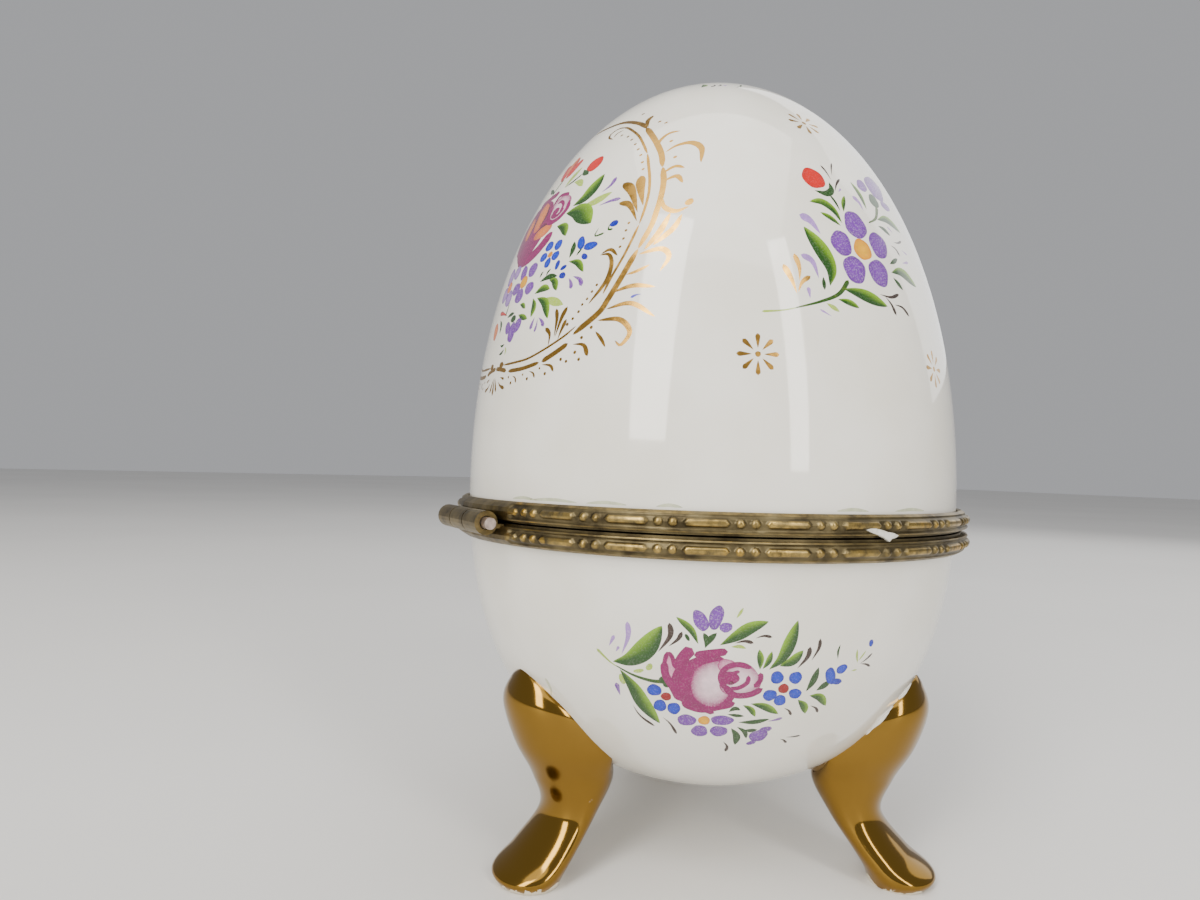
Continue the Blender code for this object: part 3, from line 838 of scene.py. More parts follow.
BOWL_SPRAY = [
    Stroke("hair", ((-16.0, 2.4), (-17.6, 3.4), (-19.7, 5.2)), 0.55),
    Spot("pale", (-15.2, 0.3), (0.5, 1.0), 20),
    Spot("pale", (-12.5, 2.2), (0.9, 0.35), 15),
    Spot("pale", (-10.8, 3.1), (0.5, 0.7), -30),
    Stroke("stem", ((-16.4, 2.7), (-13.5, 1.4), (-10.6, 0.7), (-8.4, 0.7)), 0.75),
    Stroke("leaf", ((-16.8, 3.3), (-13.9, 4.1), (-11.4, 6.3), (-9.0, 10.2)), 3.4),
    Stroke("leaf", ((-15.6, 2.1), (-13.3, -0.9), (-11.6, -3.8), (-8.8, -7.7)), 2.5),
    Spot("green", (-8.5, 1.0), (0.75, 0.75), 0),
    Spot("green", (-8.0, 0.2), (0.55, 0.5), 0),
    Stroke("lilac", ((-14.5, 10.4), (-14.3, 8.0), (-15.3, 4.8)), 0.95),
    Stroke("lilac", ((-16.6, 7.9), (-17.0, 7.0), (-17.5, 5.9)), 0.65),
    Stroke("lilac", ((-15.8, 6.1), (-16.3, 5.1)), 0.5),
    Stroke("purple", ((-16.2, -0.5), (-15.9, -1.6), (-15.5, -2.9)), 0.85),
    Stroke("brown", ((-7.9, 10.8), (-7.7, 8.7), (-9.5, 5.8)), 0.95),
    Stroke("brown", ((-5.9, 9.5), (-6.5, 8.2), (-7.9, 6.9)), 0.7),
    Stroke("leaf", ((-3.4, 7.6), (-4.6, 9.9), (-6.9, 11.8)), 1.1),
    Spot("green", (-5.1, 8.6), (0.3, 0.65), 30),
    # tulip
    Spot("purple", (-3.2, 11.4), (1.05, 1.8), 28),
    Spot("purple", (-0.9, 12.0), (1.05, 2.0), -14),
    Spot("purple", (0.6, 10.5), (1.0, 0.8), 10),
    Stroke("dark", ((-2.4, 7.0), (-1.9, 8.2), (-0.7, 9.6)), 1.0),
    Stroke("dark", ((-2.4, 7.3), (-2.2, 8.4), (-2.7, 9.5)), 0.9),
    Stroke("pale", ((2.1, 12.0), (2.6, 12.8), (3.1, 13.7)), 0.45),
    Stroke("pale", ((1.5, 7.4), (2.8, 7.5), (3.8, 7.2)), 0.6),
    Stroke("leaf", ((-0.2, 7.6), (2.3, 9.2), (4.4, 10.6), (7.0, 11.6)), 2.0),
    Stroke("brown", ((4.9, 8.1), (3.5, 8.4), (2.0, 8.0)), 0.6),
    Stroke("brown", ((7.7, 9.1), (6.4, 9.3), (5.1, 8.9)), 0.5),
    # blue flower behind the rose
    Spot("blue", (-9.9, -1.0), (1.2, 1.1), 0),
    Spot("blue", (-8.9, -3.9), (1.05, 1.2), 0),
    Spot("red", (-8.0, -2.0), (0.85, 0.8), 0),
    # rose
    Spot("pink", (-7.6, 3.3), (1.1, 2.8), 8),
    Stroke("rose", ((-8.6, 3.2), (-8.1, 5.6), (-7.3, 5.2), (-6.8, 3.2)), 0.7),
    Spot("rose", (-2.0, 0.9), (5.2, 5.0), 0),
    Stroke("rose", ((-8.5, 4.4), (-8.2, 2.0), (-6.9, -0.3), (-5.8, -2.6)), 1.3),
    Stroke("rose", ((-4.3, 6.9), (-5.6, 5.2), (-6.6, 3.0)), 1.9),
    Stroke("rose", ((-4.0, 5.7), (-1.5, 6.2), (1.1, 6.6)), 1.3),
    Stroke("rose", ((-5.6, -2.9), (-2.6, -3.9), (0.2, -3.2), (2.7, -2.4)), 1.5),
    Stroke("rose", ((-4.2, -3.3), (-2.2, -3.9), (-0.4, -4.6)), 1.0),
    Spot("blush", (-1.0, 0.9), (3.2, 4.1), -10),
    Spot("pink", (1.0, 4.2), (1.4, 1.2), 0),
    Spot("blush", (3.2, 1.6), (3.2, 3.0), 0),
    Stroke("rose", ((4.9, 3.9), (2.9, 4.5), (1.0, 3.9), (0.2, 2.1), (1.2, -0.1)), 0.95),
    Stroke("rose", ((0.7, 0.9), (2.4, -0.9), (4.8, -0.8), (6.8, 0.4)), 1.1),
    Stroke("rose", ((6.2, 3.2), (6.3, 1.9), (5.4, 0.5)), 0.85),
    Stroke("rose", ((4.4, 2.7), (4.3, 1.4), (3.0, 0.4), (1.5, 0.2)), 0.75),
    Spot("rose", (1.7, 2.1), (1.35, 1.2), 0),
    Stroke("rose", ((3.1, 3.3), (2.3, 3.1), (1.2, 2.4)), 0.6),
    Spot("deep", (1.9, 1.3), (0.35, 0.3), 0),
    Spot("blue", (-6.7, -4.2), (1.05, 1.2), 0),
    # blue flower
    Spot("blue", (8.9, 2.3), (1.05, 1.15), 10),
    Spot("blue", (11.9, 2.2), (1.1, 1.1), 0),
    Spot("blue", (8.0, -0.9), (1.15, 1.05), 20),
    Spot("blue", (9.7, -1.9), (1.0, 1.05), 0),
    Spot("blue", (12.1, -0.7), (1.1, 0.95), -15),
    Spot("red", (10.1, 0.3), (0.9, 0.9), 0),
    Stroke("leaf", ((7.5, 3.7), (9.4, 5.6), (10.6, 8.4), (11.6, 11.8)), 2.1),
    Stroke("leaf", ((9.1, 4.3), (11.1, 5.1), (12.8, 6.9)), 1.6),
    Stroke("leaf", ((6.1, 3.7), (6.1, 5.4), (5.8, 7.1)), 1.1),
    Stroke("leaf", ((6.5, 3.8), (7.3, 5.0), (7.8, 6.8)), 0.95),
    Stroke("brown", ((13.9, 7.5), (13.6, 5.8), (12.0, 3.8)), 0.85),
    Stroke("brown", ((15.5, 8.8), (15.4, 7.2), (14.3, 5.1)), 0.65),
    Stroke("dark", ((13.9, -0.4), (15.0, 1.6), (15.7, 3.9)), 1.2),
    # blue cluster and the twigs beyond it
    Stroke("dark", ((15.7, -0.3), (17.0, 0.5), (18.2, 1.4)), 1.1),
    Spot("blue", (18.0, 2.2), (0.95, 1.6), 15),
    Spot("blue", (20.0, 3.3), (1.1, 0.8), 25),
    Spot("blue", (19.3, 1.1), (1.0, 0.6), -8),
    Stroke("dark", ((19.0, 5.1), (18.9, 6.4), (19.2, 7.6)), 0.4),
    Stroke("pale", ((23.0, 4.1), (22.7, 5.3), (22.6, 6.6)), 0.45),
    Stroke("pale", ((23.1, 4.5), (23.9, 5.4), (24.5, 6.2)), 0.3),
    Stroke("pale", ((21.9, 2.8), (23.1, 2.9)), 0.3),
    Stroke("brown", ((26.0, 5.6), (24.9, 4.7), (23.5, 3.9)), 0.35),
    Stroke("brown", ((25.9, 3.2), (24.9, 3.7), (23.7, 3.9)), 0.45),
    Spot("blue", (25.4, 7.4), (0.5, 0.65), 0),
    Stroke("leaf", ((14.6, -1.2), (16.6, -1.7), (17.9, -3.5)), 1.5),
    Stroke("leaf", ((12.7, -1.9), (13.9, -3.2), (14.3, -4.8)), 1.4),
    Stroke("brown", ((11.9, -5.0), (11.4, -4.0), (10.5, -3.4)), 0.5),
    Stroke("brown", ((16.6, -4.8), (16.1, -3.8), (15.0, -3.2)), 0.55),
    Stroke("leaf", ((5.1, -2.5), (7.4, -3.1), (9.7, -4.6)), 1.4),
    Stroke("leaf", ((3.9, -2.8), (5.2, -3.6), (6.0, -5.1)), 1.0),
    Stroke("dark", ((1.8, -4.2), (2.7, -3.5), (3.6, -3.8)), 0.8),
    Stroke("dark", ((1.6, -4.7), (3.0, -4.9), (4.3, -5.0)), 0.65),
    # purple flower
    Spot("purple", (-4.6, -6.4), (1.5, 1.2), 0),
    Spot("purple", (-2.5, -8.6), (1.3, 1.3), 0),
    Spot("purple", (0.5, -8.4), (1.4, 1.2), 0),
    Spot("purple", (0.9, -6.0), (1.8, 1.05), 0),
    Spot("yellow", (-1.9, -6.2), (0.95, 0.95), 0),
    Stroke("dark", ((3.4, -6.3), (6.0, -6.2), (8.4, -5.6)), 0.95),
    Stroke("purple", ((10.5, -5.4), (9.4, -5.8), (8.1, -6.1)), 0.55),
    Stroke("dark", ((2.4, -7.6), (3.4, -9.4), (3.3, -11.6)), 1.2),
    # bud
    Stroke("dark", ((3.3, -7.3), (4.6, -8.4), (5.0, -10.0)), 0.8),
    Stroke("dark", ((4.4, -8.0), (5.4, -8.1), (6.6, -7.9)), 0.8),
    Spot("purple", (7.9, -7.9), (1.1, 0.65), 20),
    Spot("purple", (6.9, -9.3), (1.6, 1.3), 30),
    Spot("purple", (5.9, -11.0), (0.9, 0.5), 30),
    Stroke("brown", ((-9.6, -8.5), (-12.0, -6.6), (-13.4, -4.4)), 0.5),
    Stroke("brown", ((-6.0, -9.8), (-7.1, -7.6), (-8.4, -6.2)), 0.5),
    Stroke("brown", ((14.2, -9.7), (12.9, -9.9), (11.5, -9.9)), 0.4),
    Stroke("brown", ((11.9, -11.4), (11.3, -10.6), (10.6, -10.3)), 0.5),
    Stroke("brown", ((1.9, -13.5), (2.1, -12.1), (1.4, -10.8)), 0.6),
]

LID_SPRAY = [
    Stroke("hair", ((-10.0, -13.2), (-13.6, -14.2), (-17.3, -14.6)), 0.4),
    Stroke("stem", ((-12.0, -13.8), (-7.5, -12.4), (-4.0, -10.8), (-1.7, -8.2)), 0.85),
    # red bud
    Spot("scarlet", (-3.8, 10.9), (2.15, 2.2), 0),
    Stroke("dark", ((-4.4, 8.2), (-2.2, 7.9), (-0.8, 9.0), (-0.8, 10.6)), 1.3),
    Stroke("dark", ((-0.3, 4.7), (-0.8, 6.4), (-1.7, 8.1)), 0.55),
    Stroke("brown", ((-1.3, 14.4), (-0.6, 13.0), (-0.1, 11.1)), 0.45),
    Stroke("brown", ((1.6, 15.6), (0.9, 14.0), (0.4, 12.3)), 0.35),
    Stroke("brown", ((2.0, 12.0), (0.8, 10.6), (-0.2, 8.7)), 0.5),
    Stroke("lilac", ((1.4, 9.7), (0.6, 8.8)), 0.4),
    Stroke("leaf", ((-0.6, 2.3), (-1.7, 4.7), (-3.6, 6.0), (-6.0, 5.7)), 1.5),
    Stroke("leaf", ((-1.0, 1.7), (-2.7, 3.0), (-4.5, 3.8)), 1.0),
    Stroke("leaf", ((0.4, 4.7), (0.8, 6.3), (1.7, 8.3)), 0.9),
    Stroke("lilac", ((-8.5, 2.8), (-6.8, 1.9), (-5.4, -0.5)), 1.6),
    Stroke("lilac", ((-9.7, -4.6), (-7.9, -5.6), (-7.2, -8.5)), 1.2),
    Stroke("lilac", ((-9.3, -10.1), (-9.2, -12.0)), 0.7),
    Stroke("lilac", ((-7.8, -13.7), (-5.8, -14.7)), 0.35),
    Stroke("leaf", ((-5.4, -9.6), (-4.7, -6.6), (-5.8, -3.4), (-8.2, 0.6)), 2.9),
    Stroke("dark", ((-6.4, -8.1), (-6.5, -10.4)), 0.7),
    Stroke("gold_comma", ((-12.9, -6.5), (-11.9, -9.0), (-11.3, -11.4)), 1.1),
    Stroke("gold_comma", ((-10.8, -4.5), (-10.3, -6.8), (-10.6, -9.2)), 0.95),
    Stroke("gold_comma", ((-8.6, -8.2), (-10.2, -9.4), (-11.1, -11.2)), 0.8),
    # big flower
    Spot("purple", (2.3, 2.5), (2.4, 2.65), 0),
    Spot("purple", (-1.7, -1.6), (2.0, 2.35), 0),
    Spot("purple", (6.9, -0.5), (2.25, 2.5), 0),
    Spot("purple", (0.0, -6.1), (2.25, 2.45), 0),
    Spot("purple", (5.4, -5.9), (2.3, 2.45), 0),
    Spot("yellow", (2.6, -2.1), (1.95, 1.95), 0),
    # side flower
    Spot("purple", (7.5, 12.0), (1.3, 1.5), -40),
    Spot("purple", (13.5, 9.2), (1.7, 1.0), 0),
    Spot("purple", (11.9, 12.8), (2.8, 2.8), 0),
    Stroke("purple", ((14.6, 14.4), (13.0, 12.4), (11.0, 10.4)), 2.0),
    Spot("green", (9.6, 9.2), (1.4, 1.5), 0),
    Stroke("stem", ((5.7, 3.6), (8.3, 5.2), (9.9, 8.0)), 0.9),
    Stroke("leaf", ((6.4, 6.5), (5.8, 9.6), (4.5, 12.0)), 1.1),
    Stroke("lilac", ((3.6, 8.7), (4.8, 7.7), (5.4, 6.0)), 1.0),
    Stroke("leaf", ((8.6, 5.0), (12.2, 5.8), (16.4, 4.3)), 1.8),
    Stroke("dark", ((8.3, 3.6), (9.8, 3.3), (11.5, 2.4)), 0.95),
    Stroke("leaf", ((8.8, -5.2), (12.2, -4.6), (16.8, -6.4)), 2.0),
    Stroke("dark", ((8.9, -3.6), (10.3, -2.9), (11.8, -2.0)), 0.85),
    Stroke("dark", ((9.0, -6.1), (10.2, -7.0), (11.4, -8.0)), 0.9),
    Stroke("brown", ((15.3, 2.3), (13.7, 1.5), (11.9, 1.2)), 0.5),
    Stroke("brown", ((13.0, -1.3), (12.0, -0.1), (10.6, 0.3)), 0.55),
    Stroke("lilac", ((11.2, 4.2), (12.8, 3.2)), 0.4),
    Stroke("lilac", ((15.7, -1.9), (13.2, -2.6)), 0.55),
    Stroke("lilac", ((16.2, -0.3), (14.2, 0.2)), 0.4),
    Stroke("leaf", ((-3.0, -9.8), (1.0, -10.4), (6.1, -11.7)), 2.2),
    Stroke("leaf", ((-4.3, -11.7), (-2.0, -12.1), (-0.3, -12.8)), 1.1),
    Stroke("pale", ((-6.5, -12.6), (-5.5, -13.1), (-4.3, -13.8)), 0.8),
    Stroke("brown", ((9.8, -9.0), (7.4, -9.9), (4.6, -9.8)), 0.65),
    Stroke("brown", ((8.1, -13.0), (7.2, -11.2), (5.9, -10.0)), 0.7),
    Stroke("brown", ((11.9, -12.6), (10.2, -11.3), (8.0, -11.1)), 0.6),
]


def star_strokes(size=3.3):
    """An eight-petalled gold star with a dot in its middle."""
    made = [Spot("gold", (0, 0), (size * 0.14, size * 0.14))]
    for i in range(8):
        a = radians(45 * i)
        ends = ((cos(a) * size, sin(a) * size), (cos(a) * size * 0.28, sin(a) * size * 0.28))
        made.append(Stroke("gold_comma", ends, size * 0.24))
    return made


CARTOUCHE = [
    # outer band
    Stroke("gold", ((0.0, 33.6), (5.0, 33.2), (10.0, 32.5), (15.0, 30.2), (17.8, 28.0)), 0.85),
    Stroke("gold", ((17.5, 28.3), (20.0, 25.8), (22.5, 23.1), (25.0, 20.0), (26.8, 16.8)), 0.95),
    Stroke("gold", ((26.8, 16.8), (28.4, 13.6), (29.3, 10.4), (29.7, 7.4), (29.8, 4.6), (29.0, 0.6)), 1.0),
    Stroke("gold", ((29.0, 0.6), (27.7, -4.0), (26.2, -8.0), (24.9, -10.3), (20.9, -13.5)), 1.1),
    Stroke("gold", ((20.3, -14.9), (17.6, -16.4), (14.9, -17.6)), 0.95),
    Stroke("gold", ((14.4, -17.7), (10.0, -18.4), (5.4, -18.5)), 0.75),
    Stroke("gold", ((4.7, -18.4), (2.3, -17.9), (0.0, -17.6)), 0.8),
    Spot("gold", (2.3, -17.1), (0.9, 0.6), 0),
    # inner line
    Stroke("gold_curl", ((11.2, 27.2), (9.5, 28.2), (8.9, 29.6), (10.2, 30.6), (12.5, 29.9)), 0.5),
    Stroke("gold", ((10.6, 30.6), (12.5, 29.9), (15.0, 28.1), (17.5, 26.0), (19.8, 23.5), (22.2, 20.6)), 0.45),
    Stroke("gold", ((22.2, 20.6), (24.0, 17.5), (25.6, 14.5), (26.8, 11.4), (27.4, 8.3), (27.6, 5.2)), 0.5),
    Stroke("gold", ((27.6, 5.2), (27.3, 2.2), (26.8, -0.6), (25.8, -4.0), (25.0, -7.0)), 0.5),
    Stroke("gold", ((21.3, -12.0), (19.1, -13.6), (15.6, -15.3), (11.4, -16.7), (7.5, -17.1), (3.0, -17.2)), 0.45),
    Stroke("gold_curl", ((10.8, 27.8), (10.9, 28.9), (12.0, 29.5)), 0.4),
    Stroke("gold_curl", ((22.2, 0.2), (24.0, 0.1), (25.1, -1.9), (24.9, -4.9), (22.7, -8.5)), 0.85),
    Stroke("gold_curl", ((22.4, 0.4), (24.0, 1.0), (25.7, -0.3)), 0.6),
    # spurs outside
    Stroke("gold_comma", ((16.2, 32.3), (16.3, 30.6), (17.9, 28.2)), 1.05),
    Stroke("gold_curl", ((25.3, 25.7), (23.6, 25.4), (22.9, 24.0), (23.2, 22.0)), 0.75),
    Stroke("gold_curl", ((25.5, 20.3), (26.8, 21.8), (29.1, 22.2), (31.5, 20.6), (33.0, 17.2)), 1.0),
    Stroke("gold_curl", ((27.3, 15.2), (28.9, 16.7), (30.8, 16.2)), 0.7),
    Stroke("gold_curl", ((28.4, 13.6), (30.2, 14.5), (31.9, 12.9)), 0.8),
    Stroke("gold_curl", ((29.8, 9.9), (30.7, 8.2), (32.9, 7.2), (34.8, 8.0)), 0.85),
    Spot("gold", (34.5, 8.9), (0.7, 0.7), 0),
    Stroke("gold_curl", ((30.1, 0.3), (31.6, 3.4), (32.2, 7.0)), 1.2),
    Stroke("gold_curl", ((31.2, 1.0), (33.6, 3.8), (34.2, 6.6)), 1.1),
    Stroke("gold_curl", ((29.4, -0.4), (32.9, 0.3), (34.6, -1.2), (33.8, -3.7)), 0.9),
    Stroke("gold_curl", ((28.3, -3.9), (30.0, -3.4), (31.9, -2.4)), 0.6),
    Stroke("gold_curl", ((26.8, -6.8), (30.0, -5.9), (33.8, -6.3)), 0.8),
    Stroke("gold_curl", ((26.3, -9.6), (30.5, -8.9), (34.9, -11.3)), 0.8),
    Stroke("gold_curl", ((25.2, -11.4), (29.1, -11.5), (31.3, -13.6), (30.2, -15.7), (29.0, -14.9)), 0.9),
    Stroke("gold_curl", ((25.2, -13.2), (26.6, -14.6), (27.6, -16.0)), 0.6),
    # acanthus inside
    Stroke("gold_comma", ((20.9, 14.3), (23.3, 12.4), (26.4, 7.6)), 1.6),
    Stroke("gold_comma", ((23.6, 15.4), (24.9, 12.6), (26.9, 8.8)), 1.7),
    Stroke("gold_comma", ((22.0, 10.1), (24.3, 9.3), (27.0, 5.8)), 1.1),
    Stroke("gold_comma", ((14.3, -11.7), (15.7, -12.9), (15.9, -15.1)), 0.8),
    Stroke("gold_comma", ((16.0, -8.5), (16.7, -10.4), (16.9, -13.6)), 0.85),
    Stroke("gold_comma", ((18.5, -8.4), (17.7, -10.4), (17.1, -13.6)), 0.95),
    Stroke("gold_comma", ((18.9, -10.6), (18.2, -12.6), (17.8, -14.2)), 0.8),
    # commas below
    Stroke("gold_comma", ((24.6, -17.3), (23.5, -15.4), (21.2, -15.1)), 0.85),
    Stroke("gold_comma", ((18.1, -19.5), (17.2, -18.4), (15.1, -18.1)), 0.6),
    Stroke("gold_comma", ((13.8, -20.3), (13.2, -19.4), (12.0, -19.0)), 0.45),
    Stroke("gold_comma", ((8.6, -20.8), (8.2, -19.9), (7.2, -19.5)), 0.45),
    Stroke("gold_comma", ((4.3, -19.8), (3.2, -19.5), (2.5, -19.3)), 0.5),
    Stroke("gold_comma", ((4.9, -21.5), (3.2, -21.0), (1.9, -20.1)), 0.7),
    # palmette
    Stroke("gold_comma", ((0.0, -22.6), (0.0, -20.9), (0.0, -19.2)), 0.8),
    Stroke("gold_comma", ((1.5, -22.0), (0.9, -20.6), (0.4, -19.3)), 0.7),
]

# dots along the cartouche's lines: (x, y, radius)
CARTOUCHE_DOTS = [
    (12.8, 27.7, 0.28), (14.8, 26.7, 0.28), (16.4, 25.4, 0.28), (18.1, 23.8, 0.28), (19.6, 22.2, 0.28),
    (21.0, 20.5, 0.28), (22.3, 18.6, 0.28), (23.3, 16.9, 0.26), (25.6, 5.7, 0.25), (25.6, 4.3, 0.25),
    (25.7, 2.8, 0.25), (25.6, 1.3, 0.25), (23.4, -5.2, 0.25), (22.8, -6.3, 0.25), (22.2, -7.5, 0.25),
    (21.5, -8.4, 0.25), (21.1, -9.6, 0.28), (20.2, -10.7, 0.28), (19.3, -11.6, 0.3), (25.1, 23.1, 0.32),
    (27.9, 18.9, 0.32), (24.3, -12.5, 0.3), (22.8, -14.1, 0.3), (22.0, -16.5, 0.3), (19.3, -17.5, 0.3),
    (20.5, -17.9, 0.28), (23.0, -17.7, 0.3), (16.2, -19.7, 0.3), (14.7, -18.7, 0.22), (11.8, -20.3, 0.3),
    (6.9, -20.7, 0.3), (5.9, -19.6, 0.25), (10.4, -19.5, 0.22), (13.0, 33.9, 0.3), (19.3, 29.5, 0.3),
    (20.9, 28.8, 0.3),
]

